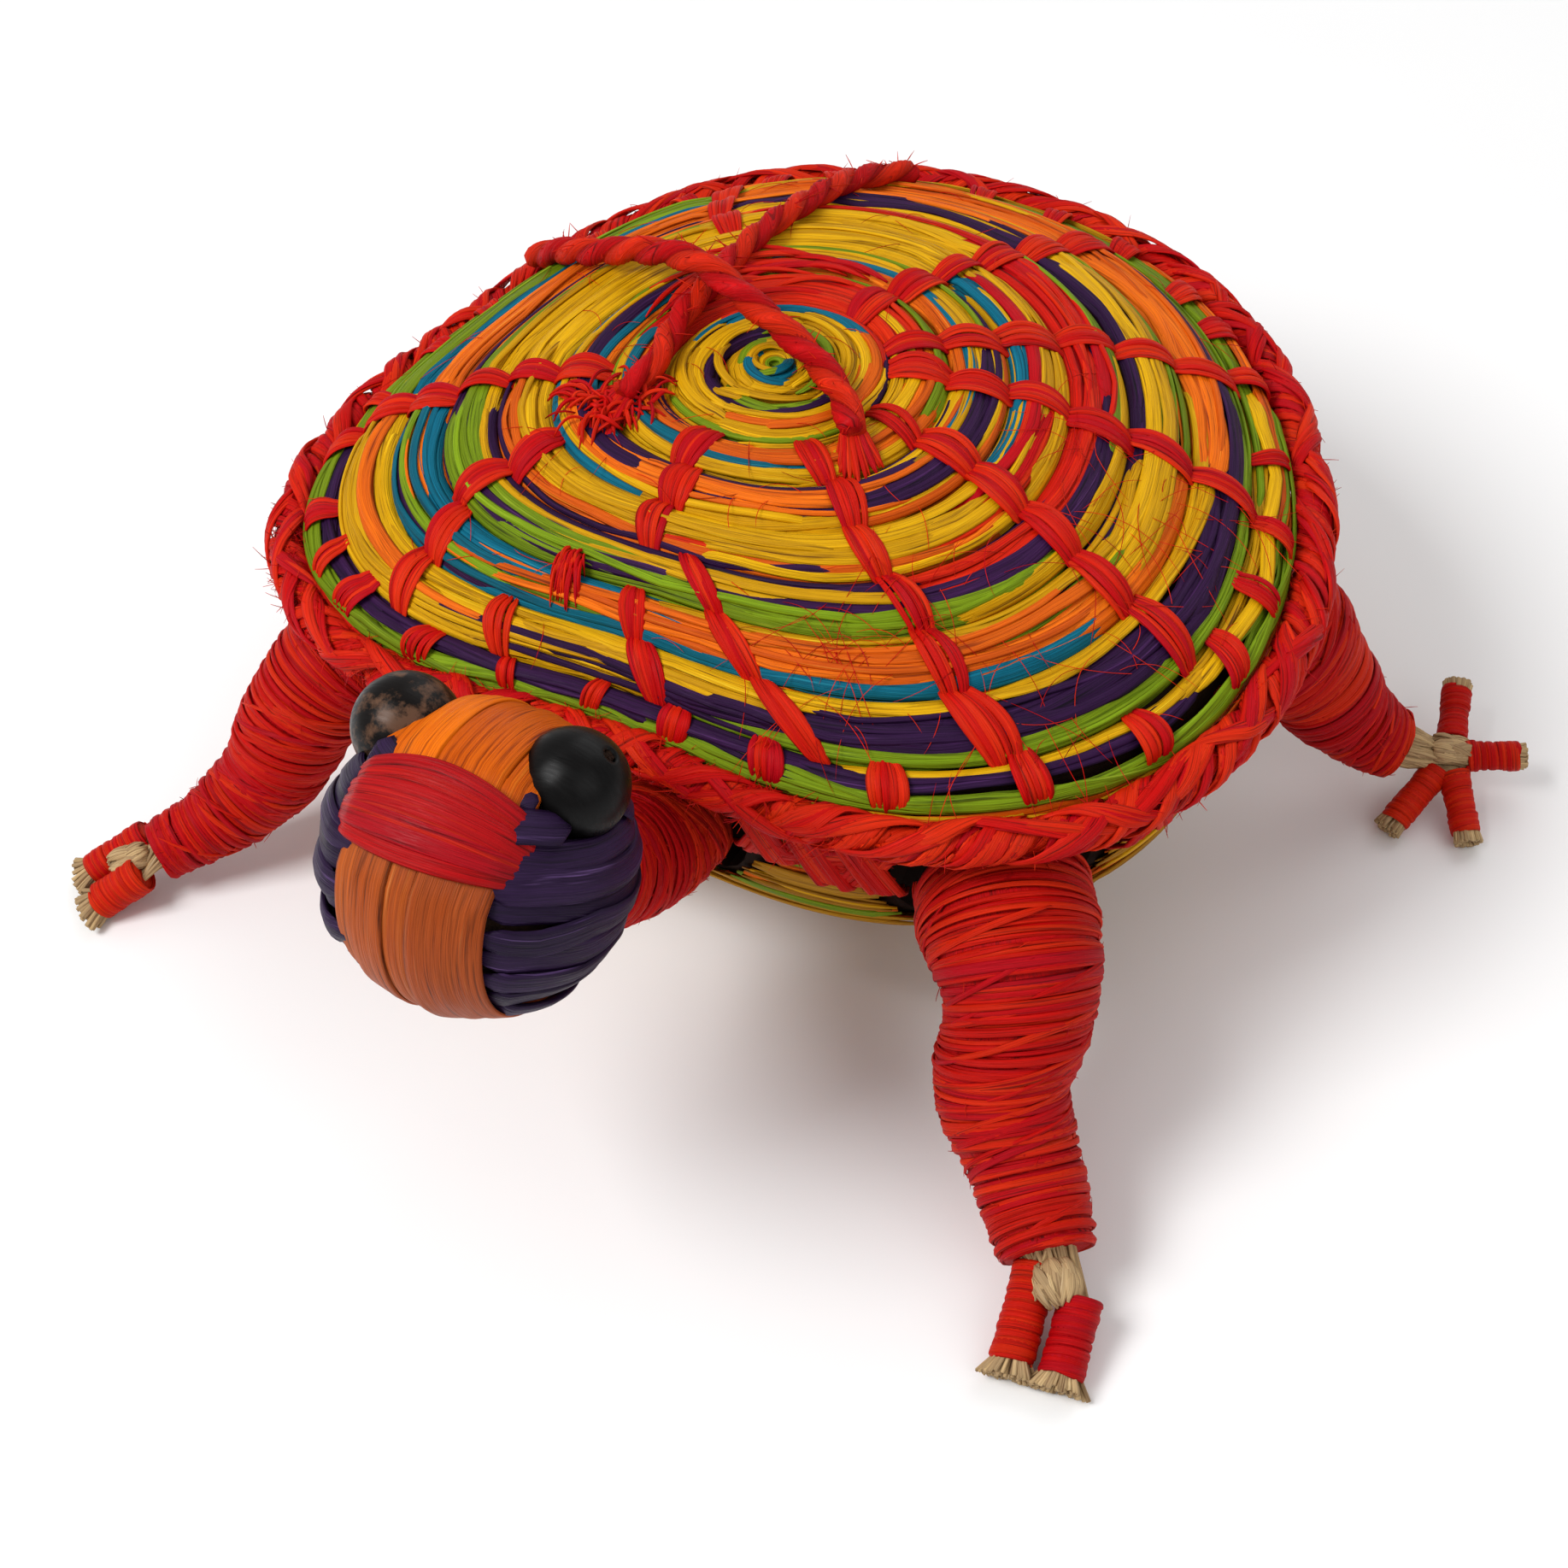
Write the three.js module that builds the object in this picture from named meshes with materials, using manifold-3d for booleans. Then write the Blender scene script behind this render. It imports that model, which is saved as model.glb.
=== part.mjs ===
// Coiled palm-fibre turtle: a domed carapace and a drum-shaped belly of coiled fibre rows, sewn with
// dyed cord, with a wrapped neck, a banded head with two seed eyes, and four bendable wrapped legs.
// Units are millimetres, +Z is up and the turtle looks along -Y, so +X is its left side.
import * as THREE from 'three';
import { mergeVertices } from 'three/addons/utils/BufferGeometryUtils.js';
import Module from 'manifold-3d';

const wasm = await Module();
wasm.setup();

// Driving dimensions. Positions are measured from the point on the floor under the coil's centre.
const GAP = 0.35; // between two pieces that touch on the real object
const PLAN_RADIUS = 72; // mean radius of the carapace at its rim
const PLAN_WAVES = [[0.07, 0.075], [0.04, 0], [0.025, -0.075], [-0.03, 0]]; // hand-coiled outline
const RIM_HEIGHT = 52;
const DOME_RISE = 21;
const DOME_POWER = 2.5;
const COIL_ROWS = 8;
const COIL_EDGE = 63; // radius where the top rows end and the outermost row turns under
const COIL_WALL = 7;
const GROOVE_DEPTH = 1.3;
const RIM_CORD_RADIUS = 2.1;
const RIM_CORD_CENTRE = [70, 51.5]; // radius, height
const STITCH_WIDTH = 3.8;
const STITCH_THICKNESS = 1.2;
const BELLY_HEIGHT = 18;
const HEAD_CENTRE = [5.4, -89, 65];
const HEAD_RADIUS = 19;
const HEAD_CORE_RADIUS = 16.4;
const EYE_RADIUS = 6.8;
const EYE_OFFSET = [11.5, 5.6, 12.2]; // from the head's centre, mirrored for the right eye
const NECK_RADIUS = 8.5;
const NECK_ROUTE = [[9, -45, 36], [8, -57, 36.5], [7, -69, 43.5], [5.4, -89, 65]];
const WRAP_THICKNESS = 1.5;
const WRAP_STEPS = 12; // rings along a leg's or the neck's wrap, shared with the core inside it
const HIP_CLEARANCE = 3.3;
const TOE_RADIUS = 2.1;
const TOE_TIP_RADIUS = 3;
const TOE_WRAP_RADIUS = 2.8;
const TOE_WRAP_START = 0.48; // shares of a toe's length
const TOE_WRAP_END = 0.76;

const RED = 0xc81e12;
const YELLOW = 0xd9ad18;
const OCHRE = 0xc48a1c;
const ORANGE = 0xe0731a;
const PURPLE = 0x3c2350;
const NATURAL = 0xc8aa80;
const SEED = 0x16110e;

// Each leg has the route of its centre line from the hip, the wrap's radius along it, the number of wrap
// steps left bare at the ankle, and its toes: the direction around Z and the rise in degrees, the length,
// and the offset to the left of the palm.
const LEGS = {
  front_left: {
    route: [
      [51, -40, 36.5], [57.6, -51, 34.2], [62, -58.5, 27],
      [65, -64, 18.5], [69.6, -70.5, 11.8], [77.4, -80.5, 5.9],
    ],
    radii: [10.4, 11, 9.8, 8.6, 7.4, 5.6],
    bareSteps: 1,
    toes: [[-82, -20, 12.5, 3.3], [-82, -20, 12.5, -3.3]],
  },
  front_right: {
    route: [
      [-44, -32.5, 36.5], [-52, -41.5, 34], [-57.6, -47.6, 26],
      [-61.5, -52.5, 17], [-68, -60, 10.5], [-78, -70, 5.8],
    ],
    radii: [8.6, 8.6, 8.2, 7.2, 5.4, 4.2],
    bareSteps: 1,
    toes: [[-137, -27, 9, 3.2], [-137, -27, 9, -3.2]],
  },
  hind_left: {
    route: [
      [58, 15.4, 36], [66.5, 18.6, 33.2], [73, 21.2, 25.6],
      [78.4, 23.2, 17], [85, 26, 10], [94, 29.6, 7],
    ],
    radii: [10.4, 10.6, 9, 7.2, 5.4, 4.2],
    bareSteps: 2,
    toes: [[104, 10, 13.5, 0], [22, 2, 11, 0], [-58, -22, 14, 0], [-110, -20, 15, 0]],
  },
  hind_right: {
    route: [
      [-46, 13.4, 36], [-54.5, 16.6, 33.2], [-61, 19.2, 25.6],
      [-66.4, 21.2, 17], [-73, 24, 10], [-82, 27.6, 7],
    ],
    radii: [10.4, 10.6, 9, 7.2, 5.4, 4.2],
    bareSteps: 2,
    toes: [[76, 10, 13.5, 0], [158, 2, 11, 0], [-122, -22, 14, 0], [-70, -20, 15, 0]],
  },
};

// Sewing lines over the coil: [angle, radius share] where the line starts and where it ends.
const STITCH_LINES = [
  [[-47, 0.26], [-38, 0.9]],
  [[-98, 0.2], [-92, 0.5]],
  [[-84, 0.53], [-57, 0.9]],
  [[-92, 0.66], [-80, 0.9]],
  [[-111, 0.74], [-106, 0.9]],
  [[-137, 0.42], [-124, 0.9]],
  [[-161, 0.3], [-163, 0.9]],
  [[22, 0.24], [12, 0.9]],
  [[42, 0.28], [36, 0.9]],
  [[-10, 0.28], [-15, 0.9]],
  [[72, 0.22], [68, 0.9]],
  [[128, 0.62], [124, 0.9]],
];

// Two cords over the top: [x, y, lift above the coil].
const TOP_CORDS = {
  top_cord_long: {
    radius: 2.1,
    route: [[-57, 27, 3.1], [-48, 22, 3], [-39.3, 17.8, 3.2], [-28.7, 14.4, 5], [-16.5, 9.8, 6.9], [-5, 5, 5],
      [5.4, 0.3, 3.4], [12.4, -4.8, 2.9], [17.5, -11, 2.9]],
  },
  top_cord_short: {
    radius: 1.9,
    route: [[-11, 67, 2.4], [-15, 56, 2.4], [-16, 41.6, 2.4], [-16.8, 27.1, 2.4], [-16.5, 13, 2.4],
      [-16, 0.2, 2.4], [-14.5, -7.5, 2.4], [-16, -15, 2.4]],
  },
};

// Side lacing between the carapace and the belly: the angles each stretch covers.
const SIDE_LACINGS = {
  side_lacing_front_left: [-66, -53],
  side_lacing_front_right: [-126, -100],
  side_lacing_left: [-22, 0],
  side_lacing_right: [180, 204],
  side_lacing_rear: [40, 140],
};

function material(color, roughness = 0.8) {
  return new THREE.MeshStandardMaterial({ color, roughness, metalness: 0 });
}

// A three.js geometry with shared vertices merged, so that only its position is left.
function welded(geometry) {
  geometry.deleteAttribute('normal');
  geometry.deleteAttribute('uv');
  return mergeVertices(geometry, 1e-4);
}

// Turns every triangle over where a geometry's faces point inwards.
function facingOut(geometry) {
  const position = geometry.attributes.position;
  const index = geometry.index.array;
  const corner = [new THREE.Vector3(), new THREE.Vector3(), new THREE.Vector3()];
  let volume = 0;
  for (let i = 0; i < index.length; i += 3) {
    corner.forEach((point, k) => point.fromBufferAttribute(position, index[i + k]));
    volume += corner[0].dot(corner[1].clone().cross(corner[2]));
  }
  if (volume < 0) {
    for (let i = 0; i < index.length; i += 3) {
      const first = index[i];
      index[i] = index[i + 1];
      index[i + 1] = first;
    }
  }
  return geometry;
}

function solid(geometry) {
  const merged = facingOut(welded(geometry));
  const vertProperties = new Float32Array(merged.attributes.position.array);
  const triVerts = new Uint32Array(merged.index.array);
  return new wasm.Manifold(new wasm.Mesh({ numProp: 3, vertProperties, triVerts }));
}

function geometryOf(manifold) {
  const mesh = manifold.getMesh();
  const geometry = new THREE.BufferGeometry();
  geometry.setAttribute('position', new THREE.BufferAttribute(new Float32Array(mesh.vertProperties), 3));
  geometry.setIndex(new THREE.BufferAttribute(new Uint32Array(mesh.triVerts), 1));
  return geometry;
}

// Moves every vertex of a geometry to where place puts it.
function reshaped(geometry, place) {
  const position = geometry.attributes.position;
  const point = new THREE.Vector3();
  for (let i = 0; i < position.count; i += 1) {
    point.fromBufferAttribute(position, i);
    place(point);
    position.setXYZ(i, point.x, point.y, point.z);
  }
  return facingOut(welded(geometry));
}

// The outline's growth at an angle, as a share of the radius.
function planWave(angle) {
  return PLAN_WAVES.reduce(
    (sum, [cosine, sine], i) => sum + cosine * Math.cos((i + 1) * angle) + sine * Math.sin((i + 1) * angle),
    0,
  );
}

function planRadius(radius, angle) {
  return radius * (1 + planWave(angle) * (radius / PLAN_RADIUS));
}

function domeHeight(share) {
  return RIM_HEIGHT + DOME_RISE * (1 - share ** DOME_POWER);
}

// Height of the coil's crests over a point in plan.
function domeHeightAt(x, y) {
  const angle = Math.atan2(y, x);
  const reach = Math.hypot(x, y);
  let radius = reach;
  for (let i = 0; i < 12; i += 1) {
    radius = reach / (1 + planWave(angle) * (radius / PLAN_RADIUS));
  }
  return domeHeight(radius / PLAN_RADIUS);
}

// A closed [radius, height] profile turned about Z and then stretched to the hand-coiled outline.
function coiled(profile, segments) {
  const points = profile.map(([radius, height]) => new THREE.Vector2(radius, height));
  const geometry = new THREE.LatheGeometry(points, segments);
  geometry.rotateX(Math.PI / 2);
  return reshaped(geometry, (point) => {
    const angle = Math.atan2(point.y, point.x);
    const radius = planRadius(Math.hypot(point.x, point.y), angle);
    point.x = radius * Math.cos(angle);
    point.y = radius * Math.sin(angle);
  });
}

// Bends a geometry along a curve: its y, from 0 to 1, runs along the curve and x and z lie across it.
function alongCurve(geometry, curve, steps) {
  const frames = curve.computeFrenetFrames(steps, false);
  const normal = new THREE.Vector3();
  const binormal = new THREE.Vector3();
  return reshaped(geometry, (point) => {
    const at = Math.min(Math.max(point.y, 0), 1) * steps;
    const low = Math.min(Math.floor(at), steps - 1);
    normal.lerpVectors(frames.normals[low], frames.normals[low + 1], at - low).normalize();
    binormal.lerpVectors(frames.binormals[low], frames.binormals[low + 1], at - low).normalize();
    const across = normal.multiplyScalar(point.x).addScaledVector(binormal, point.z);
    point.copy(curve.getPointAt(at / steps)).add(across);
  });
}

function curveThrough(points) {
  return new THREE.CatmullRomCurve3(points.map((point) => new THREE.Vector3(...point)));
}

// The radius at a share of a route, read from the radii given at its points.
function radiusAt(radii, share) {
  const at = share * (radii.length - 1);
  const low = Math.min(Math.floor(at), radii.length - 2);
  return radii[low] + (radii[low + 1] - radii[low]) * (at - low);
}

// A solid rod along a curve, narrower or wider as radiusOf says.
function rod(curve, radiusOf, steps, sides) {
  const profile = [new THREE.Vector2(0, 0)];
  for (let i = 0; i <= steps; i += 1) {
    profile.push(new THREE.Vector2(radiusOf(i / steps), i / steps));
  }
  profile.push(new THREE.Vector2(0, 1));
  return alongCurve(new THREE.LatheGeometry(profile, sides), curve, steps);
}

// An open sleeve along a curve, from one of its steps to another.
function sleeve(curve, outerOf, innerOf, [first, last], steps, sides) {
  const profile = [];
  for (let i = first; i <= last; i += 1) {
    profile.push(new THREE.Vector2(outerOf(i / steps), i / steps));
  }
  for (let i = last; i >= first; i -= 1) {
    profile.push(new THREE.Vector2(innerOf(i / steps), i / steps));
  }
  profile.push(profile[0].clone());
  return alongCurve(new THREE.LatheGeometry(profile, sides), curve, steps);
}

function ball(centre, radius, across = 14, down = 10) {
  return new THREE.SphereGeometry(radius, across, down).translate(...centre);
}

// The space that a leg or the neck needs to swing in the shell.
function swingSpace(route, radius) {
  const way = curveThrough(route);
  const lane = solid(rod(way, () => radius, 3, 10));
  return lane.add(solid(ball(route[0], radius, 10, 6)));
}

function carapaceCoil() {
  const profile = [[0, domeHeight(0) - GROOVE_DEPTH]];
  const pitch = COIL_EDGE / COIL_ROWS;
  for (let row = 0; row < COIL_ROWS; row += 1) {
    for (const [share, depth] of [[0.3, 0.1], [0.7, 0.1], [1, GROOVE_DEPTH]]) {
      const radius = pitch * (row + share);
      profile.push([radius, domeHeight(radius / PLAN_RADIUS) - depth]);
    }
  }
  profile.push([66.2, 56.2], [67.3, 53.5], [66.9, 50.5], [64.5, 48.4], [61, 48.6], [59.4, 50.6]);
  for (const radius of [54, 42, 26]) {
    profile.push([radius, domeHeight(radius / PLAN_RADIUS) - COIL_WALL]);
  }
  profile.push([0, domeHeight(0) - COIL_WALL]);
  return coiled(profile, 32);
}

function bellyCoil() {
  const outer = [[0, 18], [16, 18], [24, 18.9], [34, 18.2], [43, 19.2], [52, 19.4], [58.4, 22.6], [61.8, 28],
    [63, 34], [62.2, 37.5], [62.8, 41], [61, 45.2]];
  const inner = [[58.4, 44.4], [57.4, 34], [52, 25.6], [0, 23.6]];
  let belly = solid(coiled([...outer, ...inner], 28));
  for (const leg of Object.values(LEGS)) {
    belly = belly.subtract(swingSpace(leg.route.slice(0, 3), Math.max(...leg.radii) + HIP_CLEARANCE));
  }
  return geometryOf(belly.subtract(swingSpace(NECK_ROUTE.slice(0, 3), NECK_RADIUS + 2.4)));
}

function rimCord() {
  const [radius, height] = RIM_CORD_CENTRE;
  const profile = [];
  for (let i = 0; i <= 6; i += 1) {
    const turn = (i / 6) * 2 * Math.PI;
    profile.push([radius + RIM_CORD_RADIUS * Math.cos(turn), height + RIM_CORD_RADIUS * Math.sin(turn)]);
  }
  return coiled(profile, 48);
}

// One sewing line: a band that lies on the coil's crests from its start to its end.
function carapaceStitch([[startAngle, startShare], [endAngle, endShare]]) {
  const steps = Math.ceil((endShare - startShare) * 16);
  const band = new THREE.BoxGeometry(STITCH_WIDTH, 1, STITCH_THICKNESS, 1, steps, 1);
  return reshaped(band, (point) => {
    const along = point.y + 0.5;
    const angle = THREE.MathUtils.degToRad(startAngle + (endAngle - startAngle) * along);
    const radius = (startShare + (endShare - startShare) * along) * PLAN_RADIUS;
    const reach = planRadius(radius, angle);
    const x = reach * Math.cos(angle) - point.x * Math.sin(angle);
    const y = reach * Math.sin(angle) + point.x * Math.cos(angle);
    point.set(x, y, domeHeightAt(x, y) + GAP + STITCH_THICKNESS / 2 + point.z);
  });
}

function bellyStitch(angle) {
  const band = new THREE.BoxGeometry(26, STITCH_WIDTH, STITCH_THICKNESS);
  band.translate(33, 0, BELLY_HEIGHT - GAP - STITCH_THICKNESS / 2);
  return facingOut(welded(band.rotateZ(THREE.MathUtils.degToRad(angle))));
}

function sideLacing([startAngle, endAngle]) {
  const steps = Math.ceil((endAngle - startAngle) / 8);
  const band = new THREE.BoxGeometry(1.2, 1, 7.2, 1, steps, 1);
  return reshaped(band, (point) => {
    const angle = THREE.MathUtils.degToRad(startAngle + (endAngle - startAngle) * (point.y + 0.5));
    const reach = planRadius(64.4 + point.x, angle);
    point.set(reach * Math.cos(angle), reach * Math.sin(angle), 44.2 + point.z);
  });
}

function topCord({ route, radius }) {
  const curve = curveThrough(route.map(([x, y, lift]) => [x, y, domeHeightAt(x, y) + lift]));
  const section = new THREE.Shape().absarc(0, 0, radius, 0, 2 * Math.PI);
  const steps = Math.round(curve.getLength() / (radius * 2.4));
  const tube = new THREE.ExtrudeGeometry(section, { steps, extrudePath: curve, curveSegments: 4 });
  return facingOut(welded(tube));
}

function neckCore() {
  const inner = NECK_RADIUS - WRAP_THICKNESS - GAP;
  const bundle = solid(rod(curveThrough(NECK_ROUTE), () => inner, WRAP_STEPS, 12));
  const core = bundle.add(solid(ball(NECK_ROUTE[0], inner, 12, 8)));
  return geometryOf(core.subtract(solid(ball(HEAD_CENTRE, HEAD_RADIUS + 2 * GAP, 20, 14))));
}

function neckWrap() {
  const inner = NECK_RADIUS - WRAP_THICKNESS;
  const curve = curveThrough(NECK_ROUTE);
  const wrap = sleeve(curve, () => NECK_RADIUS, () => inner, [1, WRAP_STEPS], WRAP_STEPS, 12);
  return geometryOf(solid(wrap).subtract(solid(ball(HEAD_CENTRE, HEAD_RADIUS + 2 * GAP, 20, 14))));
}

function eyeCentre(side) {
  const offset = [side * EYE_OFFSET[0], EYE_OFFSET[1], EYE_OFFSET[2]];
  return HEAD_CENTRE.map((value, axis) => value + offset[axis]);
}

function eyeSeats() {
  const seat = (side) => solid(ball(eyeCentre(side), EYE_RADIUS + 1.5 * GAP, 10, 8));
  return seat(1).add(seat(-1));
}

function headCore() {
  return geometryOf(solid(ball(HEAD_CENTRE, HEAD_CORE_RADIUS, 16, 12)).subtract(eyeSeats()));
}

function headShell() {
  const outer = solid(ball(HEAD_CENTRE, HEAD_RADIUS, 16, 12));
  const inner = solid(ball(HEAD_CENTRE, HEAD_CORE_RADIUS + GAP, 16, 12));
  return outer.subtract(inner).subtract(eyeSeats());
}

const BAND_SIDES = [-9.2, 11]; // how far the middle bands reach to the right and left of the centre

// A band round the middle of the head, from one angle above the nose to another, seen from the left.
function headBand(startAngle, endAngle) {
  const wedge = new THREE.Shape().moveTo(0, 0);
  const steps = 6;
  for (let i = 0; i <= steps; i += 1) {
    const angle = THREE.MathUtils.degToRad(startAngle + ((endAngle - startAngle) * i) / steps);
    wedge.lineTo(Math.cos(angle) * HEAD_RADIUS * 1.3, Math.sin(angle) * HEAD_RADIUS * 1.3);
  }
  const [right, left] = BAND_SIDES;
  const sector = new THREE.ExtrudeGeometry(wedge, { depth: left - right, bevelEnabled: false });
  return geometryOf(headShell().intersect(solid(reshaped(sector, (point) => {
    const [forward, up, across] = [point.x, point.y, right + point.z];
    point.set(HEAD_CENTRE[0] + across, HEAD_CENTRE[1] - forward, HEAD_CENTRE[2] + up);
  }))));
}

function cheekBand(side) {
  const size = 2.2 * HEAD_RADIUS;
  const start = side > 0 ? BAND_SIDES[1] + GAP : -BAND_SIDES[0] + GAP;
  const block = new THREE.BoxGeometry(size, size, size);
  block.translate(HEAD_CENTRE[0] + side * (start + size / 2), HEAD_CENTRE[1], HEAD_CENTRE[2]);
  return geometryOf(headShell().intersect(solid(block)));
}

// A round seed drilled through, with the hole pointing away from the head's centre.
function eyeSeed(side) {
  const hole = 1.2;
  const profile = [];
  for (let i = 0; i <= 8; i += 1) {
    const start = Math.asin(hole / EYE_RADIUS);
    const angle = start + (i / 8) * (Math.PI - 2 * start);
    profile.push(new THREE.Vector2(EYE_RADIUS * Math.sin(angle), -EYE_RADIUS * Math.cos(angle)));
  }
  profile.push(profile[0].clone());
  return turnedOut(new THREE.LatheGeometry(profile, 14), side);
}

function eyeTie(side) {
  return turnedOut(new THREE.CylinderGeometry(0.8, 0.8, 2 * EYE_RADIUS - 0.6, 8), side);
}

// Puts a geometry made about Y on the line from the head's centre through an eye.
function turnedOut(geometry, side) {
  const outward = new THREE.Vector3(side * EYE_OFFSET[0], EYE_OFFSET[1], EYE_OFFSET[2]).normalize();
  geometry.applyQuaternion(new THREE.Quaternion().setFromUnitVectors(new THREE.Vector3(0, 1, 0), outward));
  geometry.translate(...eyeCentre(side));
  return facingOut(welded(geometry));
}

// The centre line of one toe, from the palm to its cut tip.
function toeRoute(leg, [direction, rise, length, offset]) {
  const around = THREE.MathUtils.degToRad(direction);
  const [x, y, z] = leg.route[leg.route.length - 1];
  const palm = [x - offset * Math.sin(around), y + offset * Math.cos(around), z];
  const up = THREE.MathUtils.degToRad(rise);
  const step = [Math.cos(around) * Math.cos(up), Math.sin(around) * Math.cos(up), Math.sin(up)];
  const at = (distance) => palm.map((value, i) => value + step[i] * distance);
  return [at(0), at(length / 2), at(length)];
}

// A straight piece of a toe: its [radius, share of the toe's length] profile turned about the toe.
function toePiece(leg, toe, profile) {
  const points = profile.map(([radius, share]) => new THREE.Vector2(radius, share));
  return alongCurve(new THREE.LatheGeometry(points, 8), curveThrough(toeRoute(leg, toe)), 1);
}

// The bare fibre bundle of a leg: it splits into toes at the palm and stands on its cut toe tips.
function legCore(leg) {
  const curve = curveThrough(leg.route);
  const inner = (share) => radiusAt(leg.radii, share) - WRAP_THICKNESS - GAP;
  let core = solid(rod(curve, inner, WRAP_STEPS, 8)).add(solid(ball(leg.route[0], inner(0), 8, 6)));
  core = core.add(solid(ball(leg.route[leg.route.length - 1], inner(1) + 0.6, 8, 6)));
  for (const toe of leg.toes) {
    const profile = [[0, 0], [TOE_RADIUS, 0], [TOE_RADIUS, TOE_WRAP_END], [TOE_TIP_RADIUS, 1], [0, 1]];
    core = core.add(solid(toePiece(leg, toe, profile)));
  }
  return geometryOf(core.subtract(solid(new THREE.BoxGeometry(400, 400, 20).translate(0, 0, -10))));
}

function legWrap(leg) {
  const outer = (share) => radiusAt(leg.radii, share);
  const inner = (share) => outer(share) - WRAP_THICKNESS;
  return sleeve(curveThrough(leg.route), outer, inner, [1, WRAP_STEPS - leg.bareSteps], WRAP_STEPS, 8);
}

function toeWrap(leg, toe) {
  const inner = TOE_RADIUS + GAP;
  const start = [inner, TOE_WRAP_START];
  const outer = [[TOE_WRAP_RADIUS, TOE_WRAP_END], [TOE_WRAP_RADIUS, TOE_WRAP_START]];
  return toePiece(leg, toe, [start, [inner, TOE_WRAP_END], ...outer, start]);
}

const figure = new THREE.Group();

function add(name, geometry, color, roughness) {
  const mesh = new THREE.Mesh(geometry, material(color, roughness));
  mesh.name = name;
  figure.add(mesh);
}

add('carapace_coil', carapaceCoil(), YELLOW);
STITCH_LINES.forEach((line, i) => {
  add(`carapace_stitch_${String(i + 1).padStart(2, '0')}`, carapaceStitch(line), RED);
});
add('rim_cord', rimCord(), RED);
add('belly_coil', bellyCoil(), OCHRE);
[20, 110, 200, 290].forEach((angle, i) => add(`belly_stitch_${i + 1}`, bellyStitch(angle), RED));
for (const [name, angles] of Object.entries(SIDE_LACINGS)) {
  add(name, sideLacing(angles), RED);
}
for (const [name, cord] of Object.entries(TOP_CORDS)) {
  add(name, topCord(cord), RED);
}

add('neck_core', neckCore(), NATURAL);
add('neck_wrap', neckWrap(), RED);

add('head_core', headCore(), NATURAL);
add('crown_band', headBand(83, 188), ORANGE);
add('nose_band', headBand(37, 82), RED);
add('chin_band', headBand(-98, 36), ORANGE);
for (const [side, name] of [[1, 'left'], [-1, 'right']]) {
  add(`cheek_band_${name}`, cheekBand(side), PURPLE);
  add(`eye_${name}`, eyeSeed(side), SEED, 0.3);
  add(`eye_tie_${name}`, eyeTie(side), NATURAL);
}

for (const [name, leg] of Object.entries(LEGS)) {
  add(`leg_core_${name}`, legCore(leg), NATURAL);
  add(`leg_wrap_${name}`, legWrap(leg), RED);
  leg.toes.forEach((toe, i) => add(`toe_wrap_${name}_${i + 1}`, toeWrap(leg, toe), RED));
}

// The row's origin is on the floor under the middle of the figure.
const bounds = new THREE.Box3().setFromObject(figure);
const middle = bounds.getCenter(new THREE.Vector3());
figure.position.set(-middle.x, -middle.y, -bounds.min.z);

export default figure;
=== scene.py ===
import math

import bpy
import numpy as np
from mathutils import Matrix, Vector


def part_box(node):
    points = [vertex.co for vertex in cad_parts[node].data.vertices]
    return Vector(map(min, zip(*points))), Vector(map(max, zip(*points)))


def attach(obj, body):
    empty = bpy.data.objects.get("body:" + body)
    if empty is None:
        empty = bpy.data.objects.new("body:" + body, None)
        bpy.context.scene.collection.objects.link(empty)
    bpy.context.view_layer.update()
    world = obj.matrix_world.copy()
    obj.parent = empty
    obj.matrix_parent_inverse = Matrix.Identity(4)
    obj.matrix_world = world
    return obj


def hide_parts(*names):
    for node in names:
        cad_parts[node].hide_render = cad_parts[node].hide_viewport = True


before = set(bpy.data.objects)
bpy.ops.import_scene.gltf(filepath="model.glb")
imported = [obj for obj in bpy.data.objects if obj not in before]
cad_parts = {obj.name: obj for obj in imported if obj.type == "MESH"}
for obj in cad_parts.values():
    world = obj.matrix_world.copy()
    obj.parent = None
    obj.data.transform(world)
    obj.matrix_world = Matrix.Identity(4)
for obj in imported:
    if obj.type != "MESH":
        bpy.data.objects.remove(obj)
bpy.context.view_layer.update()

# The turtle's driving values, in millimetres from the point on the floor under the coil's centre. They are
# the same as the CAD source's.
PLAN_RADIUS = 72.0
PLAN_WAVES = ((0.07, 0.075), (0.04, 0.0), (0.025, -0.075), (-0.03, 0.0))
RIM_HEIGHT = 52.0
DOME_RISE = 21.0
DOME_POWER = 2.5
COIL_ROWS = 8
COIL_EDGE = 63.0
RIM_CORD_CENTRE = (70.0, 51.5)
RIM_CORD_RADIUS = 2.1
HEAD_CENTRE = np.array([5.4, -89.0, 65.0])
HEAD_RADIUS = 19.0
EYE_RADIUS = 6.8
EYE_OFFSET = (11.5, 5.6, 12.2)
BAND_SIDES = (-9.2, 11.0)
NECK_RADIUS = 8.5
NECK_ROUTE = ((9, -45, 36), (8, -57, 36.5), (7, -69, 43.5), (5.4, -89, 65))
BELLY_HEIGHT = 18.0
HIP_CLEARANCE = 3.3
NECK_CLEARANCE = 2.45
LEG_FLARE = 2.2
TOE_STRANDS = 90
RIM_LOOPS = 74
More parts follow.
